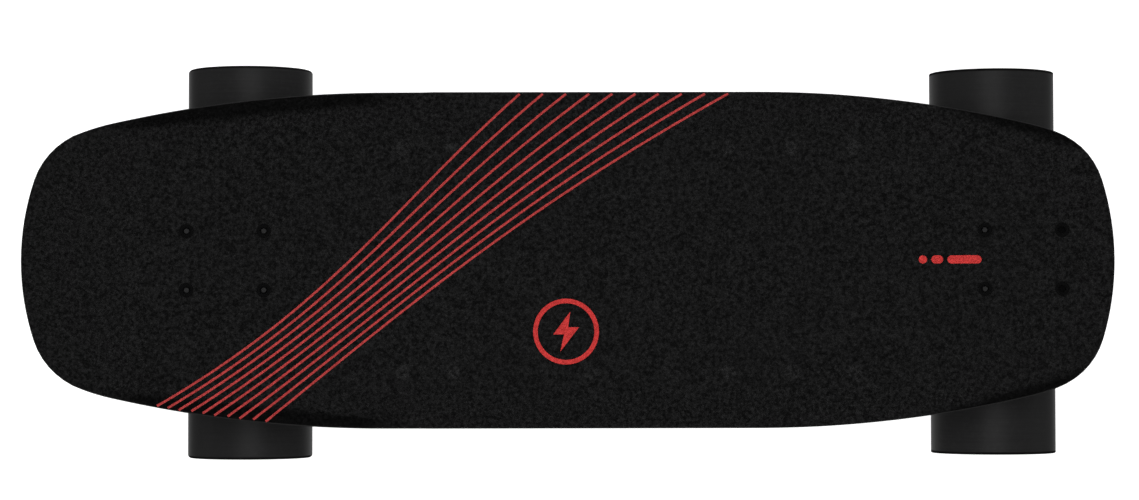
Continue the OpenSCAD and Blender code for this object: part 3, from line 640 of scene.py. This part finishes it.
def build_board():
    """The laminate, with softly rounded edges."""
    top_r, under_r, round_steps = 1.4, 2.6, 5

    def under_height(x, y):
        return swept_height(x, y, DECK_UNDER)

    rings = surface_rings(24, 12, wood_height)
    rings += [inset_ring(e, wood_height) for e in (24, 20, 16, 12, 9, 6, 4, 2.4)]
    turns = [math.radians(90 * i / round_steps) for i in range(round_steps + 1)]
    for a in turns:
        rings.append(inset_ring(top_r * (1 - math.sin(a)), wood_height, top_r * (1 - math.cos(a))))
    for a in turns:
        rings.append(inset_ring(under_r * (1 - math.cos(a)), under_height, -under_r * (1 - math.sin(a))))
    rings += [inset_ring(e, under_height) for e in (6, 12, 20)]
    rings += list(reversed(surface_rings(20, 12, under_height)))
    return join_rings(rings)


def build_grip():
    """The grip tape: one sheet with a cut edge, following the rails, the bevels and the tail."""
    rings = surface_rings(30, 20, grip_height)
    insets = (30, 27, 24, 21, 18, 16, 14, 12.5, 11, 9.5, 8, 6.5, 5, 3.5, 2)
    rings += [inset_ring(e, grip_height) for e in insets]
    rings += [inset_ring(0.95, grip_height, 0.12), inset_ring(0.8, grip_height, 0.4)]
    rings += [inset_ring(0.8, wood_height, 0.05), inset_ring(6, wood_height, 0.05)]
    rings += list(reversed(surface_rings(20, 10, lambda x, y: wood_height(x, y) - 0.05)))
    return join_rings(rings)


def bolt_places():
    return [
        (x + side * BOLT_SHIFT + i * BOLT_DX / 2, j * BOLT_DY / 2)
        for x, side in TRUCKS.values() for i in (-1, 1) for j in (-1, 1)
    ]


def board_holes():
    """Bores for the truck bolts, and countersinks for their heads."""
    bores = [cylinder(x, y, BORE_R, BORE_R, 110, 140) for x, y in bolt_places()]
    return bores + [cylinder(x, y, BORE_R, SINK_R, 129.1, 134.1) for x, y in bolt_places()]


tape_holes = [cylinder(x, y, TAPE_HOLE_R, TAPE_HOLE_R, 125, 140, 48) for x, y in bolt_places()]
board_shape = combine(build_board(), "DIFFERENCE", board_holes())
grip_shape = combine(build_grip(), "DIFFERENCE", tape_holes)
add_piece("deck_laminate", *board_shape, "carbon_deck", "board", ["deck"])
grip = add_piece("grip_sheet", *grip_shape, "grip", "board", ["grip_tape"])


def clamp(value):
    return max(0.0, min(1.0, value))


def painted_band_shade(x, y, band_x, band_y, slope, reach, soft, deep, end_fade=40, deep_fade=3):
    """How strong the painted shade is at a place beside a wheel arch: 0.5 past the first fade and 1 past the deep
    one.
    """
    out = distance_out(x - band_x, abs(y) - band_y, slope)
    near = clamp((reach - abs(x - band_x)) / end_fade)
    return near * 0.5 * (clamp(out / soft) + clamp((out - deep) / deep_fade))


def mark_painted_shade(piece, painted_shade):
    """Stores how much painted shade each point gets, as the materials' painted_edge_shade. painted_shade takes x,
    y and z.
    """
    shade = piece.data.attributes.new("painted_edge_shade", "FLOAT", "POINT")
    shade.data.foreach_set("value", [painted_shade(*(v.co / MM)) for v in piece.data.vertices])


def paint_arch_shade(piece):
    """Marks the painted shade on the tape: on the wheel-arch bevels and a little inside them."""
    mark_painted_shade(piece, lambda x, y, z: max(painted_band_shade(x, y, *band) for band in PAINTED_SHADE_BANDS))


paint_arch_shade(grip)


# ---------------------------------------------------------------- red graphics, on the tape

DOME_R, DOME_RISE = 5.2, 0.3

# How far a printed mark stands over the tape, and how far it reaches into it
MARK_LIFT, MARK_SINK = 0.12, 0.3


def print_height(x, y):
    """Height of the tape, with its swellings over the enclosure's inserts."""
    rise = 0.0
    for x0 in SCREW_X:
        share = math.hypot(x - x0, abs(y) - SCREW_Y) / DOME_R
        if share < 1:
            rise = DOME_RISE * (1 - share * share) ** 0.75
    return grip_height(x, y) + rise


def strip_on_deck(centres, width, lift=0.10, sink=0.25):
    """A thin ribbon along centre points, lying on the tape."""
    half = width / 2
    rings = []
    for i, (x, y) in enumerate(centres):
        x0, y0 = centres[max(0, i - 1)]
        x1, y1 = centres[min(len(centres) - 1, i + 1)]
        length = math.hypot(x1 - x0, y1 - y0)
        nx, ny = -(y1 - y0) / length, (x1 - x0) / length
        ring = []
        for across, high in ((-half, -sink), (-half, lift * 0.6), (-half * 0.85, lift), (half * 0.85, lift),
                             (half, lift * 0.6), (half, -sink)):
            px, py = x + nx * across, y + ny * across
            ring.append((px, py, print_height(px, py) + high))
        rings.append(ring)
    return capped(rings)


def bezier(points, t):
    s = 1 - t
    weights = (s ** 3, 3 * t * s * s, 3 * t * t * s, t ** 3)
    return sum(w * p for w, p in zip(weights, points))


def build_stripes(count=10, width=1.6, rim=1.0, steps=320):
    """Ten lines that fan across the deck between two curves, from the left rail to the right."""
    first, last = (-34, -125, -169, -318), (112.7, -30.6, -123, -219.4)
    reach = 117.5
    parts = []
    for k in range(count):
        share = k / (count - 1)
        line = []
        for i in range(steps + 1):
            t = i / steps
            y = reach - 2 * reach * t
            x = bezier(first, t) * (1 - share) + bezier(last, t) * share
            if abs(y) < half_width(x) - rim:
                line.append((x, y))
        parts.append(strip_on_deck(line, width))
    return merge(parts)


def bar_on_deck(x0, x1, width):
    """A flat bar with round ends along the centre line."""
    r, steps = width / 2, 10
    loop = arc((x1 - r, 0), r, -90, 90, steps) + arc((x0 + r, 0), r, 90, 270, steps)
    middle = (x0 + x1) / 2
    return capped([
        [(x, y, GRIP_TOP - MARK_SINK) for x, y in loop],
        [(x, y, GRIP_TOP + MARK_LIFT * 0.6) for x, y in loop],
        [((x - middle) * 0.98 + middle, y * 0.95, GRIP_TOP + MARK_LIFT) for x, y in loop],
    ])


def build_direction_mark(width=5.7):
    """A dot, a dash and a bar that point to the nose."""
    return merge([bar_on_deck(a, b, width) for a, b in ((243.3, 249.1), (252.1, 260.4), (263.4, 287.3))])


def flat_shape(loop):
    """A flat outline on the level part of the tape."""
    return capped([[(x, y, z) for x, y in loop] for z in (GRIP_TOP - MARK_SINK, GRIP_TOP + MARK_LIFT)])


def build_emblem(centre=(-3.5, -50), radius=23, stroke=3.2):
    """A plain ring round a lightning bolt, for an electric board."""
    cx, cy = centre
    outer = arc(centre, radius, 0, 360, 72)[:-1]
    inner = arc(centre, radius - stroke, 0, 360, 72)[:-1]
    low, high = GRIP_TOP - MARK_SINK, GRIP_TOP + MARK_LIFT
    rings = [[(x, y, z) for x, y in loop]
             for loop, z in ((outer, low), (outer, high), (inner, high), (inner, low))]
    ring = join_rings(rings + rings[:1])
    bolt = [(3, 14), (-9, -2), (-1.5, -2), (-4, -14), (9, 3), (1.5, 3)]
    return merge([ring, flat_shape([(cx + x, cy + y) for x, y in bolt])])


add_piece("grip_stripes", *build_stripes(), "grip", "board", material=line_red)
add_piece("direction_mark", *build_direction_mark(), "grip", "board", material=red_grit)
add_piece("deck_emblem", *build_emblem(), "grip", "board", material=red_grit)


def build_domes(radius=DOME_R, height=DOME_RISE):
    """Low swellings in the tape over the enclosure's inserts."""
    parts = []
    for x0 in SCREW_X:
        for side in (-1, 1):
            rings = []
            for k in range(7):
                a = math.radians(90 * k / 6)
                r, up = radius * math.cos(a), height * math.sin(a) ** 1.5
                rings.append([
                    (x0 + r * math.cos(b), side * SCREW_Y + r * math.sin(b), GRIP_TOP - 0.02 + up)
                    for b in (2 * math.pi * i / 32 for i in range(32))
                ])
            rings.insert(0, [(x, y, GRIP_TOP - 0.4) for x, y, _ in rings[0]])
            parts.append(capped(rings))
    return merge(parts)


# The domes' grit is lighter than the tape's: a painted highlight on the swellings
paint_arch_shade(add_piece("insert_domes", *build_domes(), "grip", "board", material=raised_grit_painted_highlight))


# ---------------------------------------------------------------- wheels

def tyre_profile(r_in, y0, lip, grooved):
    """A wheel's section: side walls, lips and a flat tread, with a groove round each wall if asked."""
    y1 = y0 + WHEEL_W
    r = WHEEL_R - 0.02
    steps = 8 if lip > 1 else 3
    low = [(r - lip + lip * math.cos(a), y0 + lip - lip * math.sin(a))
           for a in (math.radians(90 - 90 * i / steps) for i in range(steps + 1))]
    high = [(x, y0 + y1 - y) for x, y in reversed(low)]
    shoulder = max(lip, 1.2)
    tread = [(r, y0 + shoulder + e) for e in (0.3, 0.8)]
    tread += [(r, y0 + WHEEL_W * i / 12) for i in range(1, 12)]
    tread += [(r, y1 - shoulder - e) for e in (0.8, 0.3)]
    wall = 1.6
    inner = [(r_in + 0.2, y1 - 0.2), (r_in, y1 - wall), (r_in, y0 + wall), (r_in + 0.2, y0 + 0.2)]
    steps_in = [(r_in + 3.2, 0.9), (r_in + 4, 0.5)]
    if grooved:
        steps_in += [(r_in + 9.6, 0.4), (r_in + 10.0, 0.9), (r_in + 11.0, 0.9)]
        steps_in += [(r_in + 11.4, 0.3), (r_in + 12.0, 0.0)]
    outer_wall = [(x, y1 - e) for x, e in reversed(steps_in)]
    inner_wall = [(x, y0 + e) for x, e in steps_in]
    return low + tread + high + outer_wall + inner + inner_wall


def build_tyre(axle_x, side, r_in, y_in, lip, grooved):
    profile = [(r, side * y) for r, y in tyre_profile(r_in, y_in, lip, grooved)]
    return lathe_y(profile, (axle_x, AXLE_Z), 192)


def paint_lip_shade(piece, axle_x, y_in, lip_depth=4, lip_width=1.6):
    """Marks the rounded lips at both edges of the tread, where painted shade makes them darker than the tread."""
    def on_lip(x, y, z):
        r = math.hypot(x - axle_x, z - AXLE_Z)
        edge = min(abs(y) - y_in, y_in + WHEEL_W - abs(y))
        return 1.0 if r > WHEEL_R - lip_depth and edge < lip_width else 0.0

    mark_painted_shade(piece, on_lip)


for end, r_in, y_in, lip, grooved in (("front", 27, FRONT_IN, 0.8, True), ("rear", 36, REAR_IN, 2.5, False)):
    for hand, side in (("left", 1), ("right", -1)):
        name = f"{end}_{hand}_tyre"
        shape = build_tyre(TRUCKS[end][0], side, r_in, y_in, lip, grooved)
        tyre = add_piece(f"{end}_{hand}_wheel_tyre", *shape, "tyre_urethane", f"{end}_{hand}_wheel", [name])
        paint_lip_shade(tyre, TRUCKS[end][0], y_in)


# ---------------------------------------------------------------- castings

for node, body in (("front_baseplate", "board"), ("rear_baseplate", "board"),
                   ("front_hanger", "front_truck_hanger"), ("rear_hanger", "rear_truck_hanger")):
    add_piece(f"{node}_casting", *soften(node), "cast_black", body, [node])

for hand in ("left", "right"):
    for node, slot, body in ((f"front_{hand}_core", "core_plastic", f"front_{hand}_wheel"),
                             (f"rear_{hand}_motor_can", "motor_metal", f"rear_{hand}_wheel"),
                             (f"rear_{hand}_motor_cover", "motor_metal", f"rear_{hand}_wheel")):
        add_piece(f"{node}_casting", *soften(node, 0.8, 3), slot, body, [node])


# ---------------------------------------------------------------- bolts and nuts

def build_truck_bolts():
    """Countersunk bolts with a hexagon socket."""
    socket = hexagon(4.6)
    profile = [(0, 131.5), (socket, 131.7), (socket, 133.4), (2.9, 133.75), (3.1, 133.87), (4.6, 133.9),
               (4.95, 133.75), (2.4, 131.1), (2.4, 104.5), (2.0, 104.0), (0, 104.0)]
    return merge([turned(profile, (x, y, 0), (0, 0, 1)) for x, y in bolt_places()])


def build_truck_nuts():
    return merge([build_nut((x, y, 112), (0, 0, -1), 8, 5, 2.45) for x, y in bolt_places()])


def kingpin_places(along):
    """A place on each kingpin, that far towards the deck from the middle of the hanger's ring."""
    slope = math.sqrt(0.5)
    places = []
    for x, side in TRUCKS.values():
        centre = Vector((x + side * (RING_REACH * slope - PIVOT_BACK), 0, PIVOT_Z + RING_REACH * slope))
        direction = Vector((-side * slope, 0, slope))
        places.append((tuple(centre + direction * along), tuple(-direction)))
    return places


def build_kingpin_nuts():
    return merge([build_nut(place, down, 14.2, 8.5, 4.8) for place, down in kingpin_places(-18.5)])


def build_axle_nuts(x, y, height):
    """Lock nuts on both ends of an axle."""
    return merge([
        build_nut((x, side * y, AXLE_Z), (0, side, 0), 12.8, height, 4.05, washer=0.9) for side in (-1, 1)
    ])


def build_lock_rings(x, y):
    """The nylon rings of the lock nuts."""
    profile = [(4.05, -1.0), (5.3, -1.0), (5.3, 0.3), (5.0, 0.7), (4.3, 0.7), (4.05, 0.4)]
    return merge([turned(profile, (x, side * y, AXLE_Z), (0, side, 0)) for side in (-1, 1)])


def build_socket_highlight_discs():
    """Lighter discs in the bolts' sockets: a painted highlight. The pair nearest the nose gets none, so its
    sockets stay dark.
    """
    highlight_places = [(x, y) for x, y in bolt_places() if x < FRONT_X]
    return merge([cylinder(x, y, 2.1, 1.7, 131.9, 133.1, 24) for x, y in highlight_places])


# The bolt heads are near black: their black finish, darkened further as painted shade of the countersinks
bolt_black_and_shade = finish_material("bolt_black_and_shade", (0.0022, 0.0022, 0.0023), 0.7, grain=1500, specular=0.03)
add_piece("deck_bolts", *build_truck_bolts(), "black_steel", "board", ["truck_bolts"], material=bolt_black_and_shade)
# The discs' lighter steel is a painted highlight in the sockets
socket_painted_highlight = finish_material("socket_painted_highlight", (0.0138, 0.0138, 0.0141), 0.5, grain=1500, specular=0.1)
add_piece("bolt_socket_highlight_discs", *build_socket_highlight_discs(), "black_steel", "board", material=socket_painted_highlight)
add_piece("deck_bolt_nuts", *build_truck_nuts(), "zinc_steel", "board", ["truck_nuts"])
add_piece("kingpin_lock_nuts", *build_kingpin_nuts(), "zinc_steel", "board", ["kingpin_nuts"])
for end, x, y, height in (("front", FRONT_X, FRONT_IN + NUT_OUT, 8), ("rear", REAR_X, REAR_IN + NUT_OUT, 7)):
    body = f"{end}_truck_hanger"
    nuts = build_axle_nuts(x, y, height)
    add_piece(f"{end}_wheel_nuts", *nuts, "zinc_steel", body, [f"{end}_axle_nuts"])
    add_piece(f"{end}_lock_rings", *build_lock_rings(x, y + height), "pivot_urethane", body)


def build_cover_screws(side, count=6, reach=29.0):
    """Socket screws that hold a motor's inner cover."""
    socket = hexagon(1.3)
    profile = [(0, 1.1), (socket, 1.0), (socket, 0.3), (1.0, 0.1), (1.45, 0.4), (1.5, 1.9), (0, 1.9)]
    screws = []
    for i in range(count):
        a = math.radians(360 / count * (i + 0.5))
        place = (REAR_X + reach * math.cos(a), side * (REAR_IN + 0.6), AXLE_Z - reach * math.sin(a))
        screws.append(turned(profile, place, (0, side, 0), 24))
    return merge(screws)


for hand, side in (("left", 1), ("right", -1)):
    add_piece(f"rear_{hand}_cover_screws", *build_cover_screws(side), "black_steel", f"rear_{hand}_wheel")


# ---------------------------------------------------------------- motor cables

CABLE_PATH = (
    (-215.5, 76, 50), (-214.5, 68, 50), (-213.5, 60, 50.5), (-210.5, 53, 53), (-205, 47.5, 59),
    (-197.5, 43, 68), (-189, 39.5, 78), (-180, 37, 87), (-170, 35.5, 95), (-159.5, 34.5, 100.5),
    (-149, 34, 103.3), (-138.5, 34, 104), (-128.5, 34, 104), (-121.5, 34, 104),
)
BOOT_PATH = (
    (-214.9, 72.5, 50), (-215.5, 76, 50), (-217.2, 79.5, 49.4), (-220.5, 82, 48.3), (-224.5, 83.4, 47),
)
CABLE_R, BOOT_R = 3.5, 4.6


def mirrored(path, side):
    return [(x, y * side, z) for x, y, z in path]


def add_cable(hand, side):
    """A sleeved cable that curves from the hanger up to the enclosure, and its boot at the axle."""
    sleeve = build_tube(mirrored(CABLE_PATH, side), CABLE_R)
    cable = add_piece(f"{hand}_cable_sleeve", *sleeve, "cable_black", None, [f"{hand}_motor_cable"])
    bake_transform(cable)
    boot = build_tube(mirrored(BOOT_PATH, side), BOOT_R)
    add_piece(f"{hand}_cable_boot", *boot, "gland_plastic", "rear_truck_hanger")


add_cable("left", 1)
add_cable("right", -1)


# ---------------------------------------------------------------- enclosure

TRAY_X, TRAY_FLOOR, TRAY_WALL_Y = 40, 88, -71
TRAY_OUTER = (
    (344.2, 171.2, 13.6, 120.5), (345, 172, 14, 120.1), (345, 172, 14, 117.2), (344.6, 171.6, 13.8, 116.8),
    (343.8, 170.8, 13.4, 116.5), (335, 148, 15, 116.5), (331.5, 144.5, 13.2, 115.8),
    (329.6, 142.6, 12.3, 114.2), (329, 142, 12, 112), (329, 142, 12, 100),
)
TRAY_INNER = ((323, 136, 9, 125), (323, 136, 9, 95), (319, 132, 7, 91))
SINK_X, BUTTON_X, SOCKET_X, CONTROL_Z = 135.5, 107.5, 157.5, 102
TRAY_REAR_X, GLAND_Y, GLAND_Z = -124, 34, 104


def rounded_ring(length, width, radius, z, x0=TRAY_X, y0=0.0, steps=8):
    corners = ((1, 1, 0), (-1, 1, 90), (-1, -1, 180), (1, -1, 270))
    ring = []
    for i, j, start in corners:
        centre = (x0 + i * (length / 2 - radius), y0 + j * (width / 2 - radius))
        ring += [(x, y, z) for x, y in arc(centre, radius, start, start + 90, steps)]
    return ring


def tray_body():
    """The outer skin: flange, fillet, walls and a rounded bottom edge."""
    rings = [rounded_ring(*row) for row in TRAY_OUTER]
    length, width, corner, _ = TRAY_OUTER[-1]
    round_r, steps = 6, 6
    for i in range(steps + 1):
        a = math.radians(90 * i / steps)
        inset = 2 * round_r * (1 - math.cos(a))
        rings.append(rounded_ring(length - inset, width - inset, corner - inset / 2,
                                  TRAY_FLOOR + round_r * (1 - math.sin(a))))
    return capped(rings)


def tray_additions():
    """Collars round the screw heads and ribs along the floor."""
    parts = [cylinder(x, side * SCREW_Y, 5.9, 6.3, 114.2, 117.5) for x in SCREW_X for side in (-1, 1)]
    for k in range(5):
        y = 24 * (k - 2)
        heights = ((150, 2.4, TRAY_FLOOR - 0.9), (151, 3.2, TRAY_FLOOR - 0.6), (151.6, 4, TRAY_FLOOR + 0.5))
        parts.append(capped([rounded_ring(l, w, w * 0.49, z, -20, y) for l, w, z in heights]))
    return parts


def tray_cuts():
    """The cavity, the window of the heat sink, and the holes for screws, cables and controls."""
    cuts = [capped([rounded_ring(*row) for row in TRAY_INNER])]
    cuts.append(capped([rounded_ring(90, 70, 4, z, SINK_X) for z in (80, 95)]))
    cuts += [cylinder(x, side * SCREW_Y, 4.4, 4.4, 110, 116.5) for x in SCREW_X for side in (-1, 1)]
    gland_bore = [(0, -10), (5, -10), (5, 10), (0, 10)]
    for side in (-1, 1):
        cuts.append(turned(gland_bore, (TRAY_REAR_X, side * GLAND_Y, GLAND_Z), (1, 0, 0), 32))
    for x, r in ((BUTTON_X, 8.6), (SOCKET_X, 6.1)):
        cuts.append(turned([(0, -6), (r, -6), (r, 6), (0, 6)], (x, TRAY_WALL_Y, CONTROL_Z), (0, 1, 0), 48))
    return cuts


def build_tray():
    shape = combine(tray_body(), "UNION", tray_additions())
    return combine(shape, "DIFFERENCE", tray_cuts())


add_piece("tray_shell", *build_tray(), "tray_plastic", "board", ["enclosure_tray"])


# ---------------------------------------------------------------- button and charging cap

CAP_HINGE = (144.5, -75.9)


def facing_out(profile, x, steps=96):
    """A turned shape on the control wall, with heights measured outwards from the wall."""
    return turned(profile, (x, TRAY_WALL_Y, CONTROL_Z), (0, -1, 0), steps)


def build_button():
    """A push button with a dished face."""
    return facing_out([
        (0, 3.3), (2.0, 3.35), (3.6, 3.55), (4.6, 3.9), (5.1, 4.2), (5.9, 4.2), (6.3, 4.05), (6.5, 3.7),
        (6.5, -9), (0, -9),
    ], BUTTON_X)


def build_bezel():
    """The button's metal collar, with a groove round its face."""
    return facing_out([
        (6.6, -11), (8.5, -11), (8.5, 0), (11, 0), (11, 1.3), (10.7, 2.0), (10.1, 2.5),
        (9.1, 2.5), (8.9, 2.2), (8.4, 2.2), (8.2, 2.5), (7.2, 2.5), (6.8, 2.35), (6.6, 1.9),
    ], BUTTON_X)


def build_cap():
    """A rubber cap: a disc with a raised ring, a plug, a strap round the hinge pin and a thumb tab."""
    disc = facing_out([
        (0, 5.0), (5.4, 5.0), (5.8, 5.4), (7.0, 5.4), (7.4, 5.1), (8.3, 5.1), (9.0, 4.8),
        (9.4, 4.2), (9.4, 3.1), (9.1, 2.8), (3.2, 2.8), (3.2, 1.1), (2.9, 0.8), (0, 0.8),
    ], SOCKET_X)
    strap = facing_block(CAP_HINGE[0], SOCKET_X - 5, 3.4, 5.2, 4.0)
    tab = facing_block(SOCKET_X + 7, SOCKET_X + 11.6, 3.3, 4.5, 3.2)
    barrel, pin = hinge_rod(1.9, 4.1), hinge_rod(1.0, 6.3)
    return combine(disc, "UNION", [strap, tab, barrel, pin])


def hinge_rod(r, half, edge=0.2):
    """A rod with softened ends, up and down along the cap's hinge."""
    profile = [(0, -half), (r - edge, -half), (r, edge - half), (r, half - edge), (r - edge, half), (0, half)]
    return turned(profile, (*CAP_HINGE, CONTROL_Z), (0, 0, 1), 32)


def facing_block(x0, x1, low, high, half, edge=0.5):
    """A block with softened edges on the control wall, low and high measured outwards from it."""
    rings = []
    for h, inset in ((low, edge), (low + edge, 0), (high - edge, 0), (high, edge)):
        y = TRAY_WALL_Y - h
        xa, xb, z = x0 + inset, x1 - inset, half - inset
        rings.append([(xa, y, CONTROL_Z - z), (xb, y, CONTROL_Z - z), (xb, y, CONTROL_Z + z),
                      (xa, y, CONTROL_Z + z)])
    return capped(rings)


add_piece("button_cap", *build_button(), "button_plastic", "power_button", ["power_button"])
add_piece("button_collar", *build_bezel(), "bezel_metal", "board", ["power_button_bezel"])
add_piece("charge_cap_moulding", *build_cap(), "cap_rubber", "charge_cap", ["charge_cap"])


# ---------------------------------------------------------------- stage, light and camera

def add_stage():
    """A white floor and a far white wall that light nothing themselves."""
    material, _, shader, _ = node_material("studio_white")
    shader.inputs["Base Color"].default_value = (0.5, 0.5, 0.5, 1)
    shader.inputs["Roughness"].default_value = 1.0
    shader.inputs["Specular IOR Level"].default_value = 0.0
    shader.inputs["Emission Color"].default_value = (1, 1, 1, 1)
    shader.inputs["Emission Strength"].default_value = 0.9
    reach, wall_radius, wall_height, sides = 9.0, 8.0, 6.0, 64
    floor = bpy.data.meshes.new("floor")
    floor.from_pydata([(-reach, -reach, 0), (reach, -reach, 0), (reach, reach, 0), (-reach, reach, 0)],
                      [], [(0, 1, 2, 3)])
    wall = bpy.data.meshes.new("backdrop")
    ring = [(wall_radius * math.cos(a), wall_radius * math.sin(a))
            for a in (2 * math.pi * i / sides for i in range(sides))]
    wall.from_pydata([(x, y, z) for z in (-0.1, wall_height) for x, y in ring], [],
                     [(i, (i + 1) % sides, sides + (i + 1) % sides, sides + i) for i in range(sides)])
    for mesh in (floor, wall):
        mesh.materials.append(material)
        piece = bpy.data.objects.new(mesh.name, mesh)
        put_in_scene(piece)
        piece.visible_diffuse = False
        piece.visible_glossy = False
        piece.visible_shadow = False


def add_light(name, place, aim, size, power):
    light = bpy.data.lights.new(name, "AREA")
    light.shape = "RECTANGLE"
    light.size, light.size_y = size
    light.energy = power
    lamp = bpy.data.objects.new(name, light)
    lamp.location = place
    direction = Vector(aim) - Vector(place)
    lamp.rotation_euler = direction.to_track_quat("-Z", "Y").to_euler()
    put_in_scene(lamp)


def add_lights():
    add_light("top_softbox", (0.0, 0.15, 2.3), (0, 0, 0.1), (1.5, 1.5), 25)
    for side, hand, end in ((-1, "right", "rear"), (1, "left", "front")):
        add_light(f"side_softbox_{hand}", (0.0, 2.4 * side, 0.8), (0, 0, 0.1), (2.4, 1.0), 26)
        add_light(f"end_softbox_{end}", (2.6 * side, 0.0, 0.5), (0, 0, 0.1), (1.6, 0.8), 2)
    add_light("floor_bounce", (0.0, 0.0, -1.2), (0, 0, 0.1), (2.6, 1.6), 5.5)
    world = bpy.data.worlds.new("studio")
    world.use_nodes = True
    world.node_tree.nodes["Background"].inputs["Color"].default_value = (1, 1, 1, 1)
    world.node_tree.nodes["Background"].inputs["Strength"].default_value = 0.32
    bpy.context.scene.world = world


def add_camera():
    """Almost straight down, as product pictures are taken, with the nose to the right."""
    above = Vector((-0.0147, -0.0574, GRIP_TOP * MM + 2.073))
    target = Vector((-0.0010, 0.0070, GRIP_TOP * MM))
    data = bpy.data.cameras.new("camera")
    data.lens = 93.77
    data.sensor_width = 36
    camera = bpy.data.objects.new("camera", data)
    forward = (target - above).normalized()
    right = Vector((1, -0.0016, 0))
    up = right.cross(forward).normalized()
    right = forward.cross(up).normalized()
    turn = Matrix((right, up, -forward)).transposed().to_4x4()
    camera.matrix_world = Matrix.Translation(above) @ turn
    put_in_scene(camera)
    bpy.context.scene.camera = camera


add_stage()
add_lights()
add_camera()
bpy.context.scene.view_settings.view_transform = "Standard"
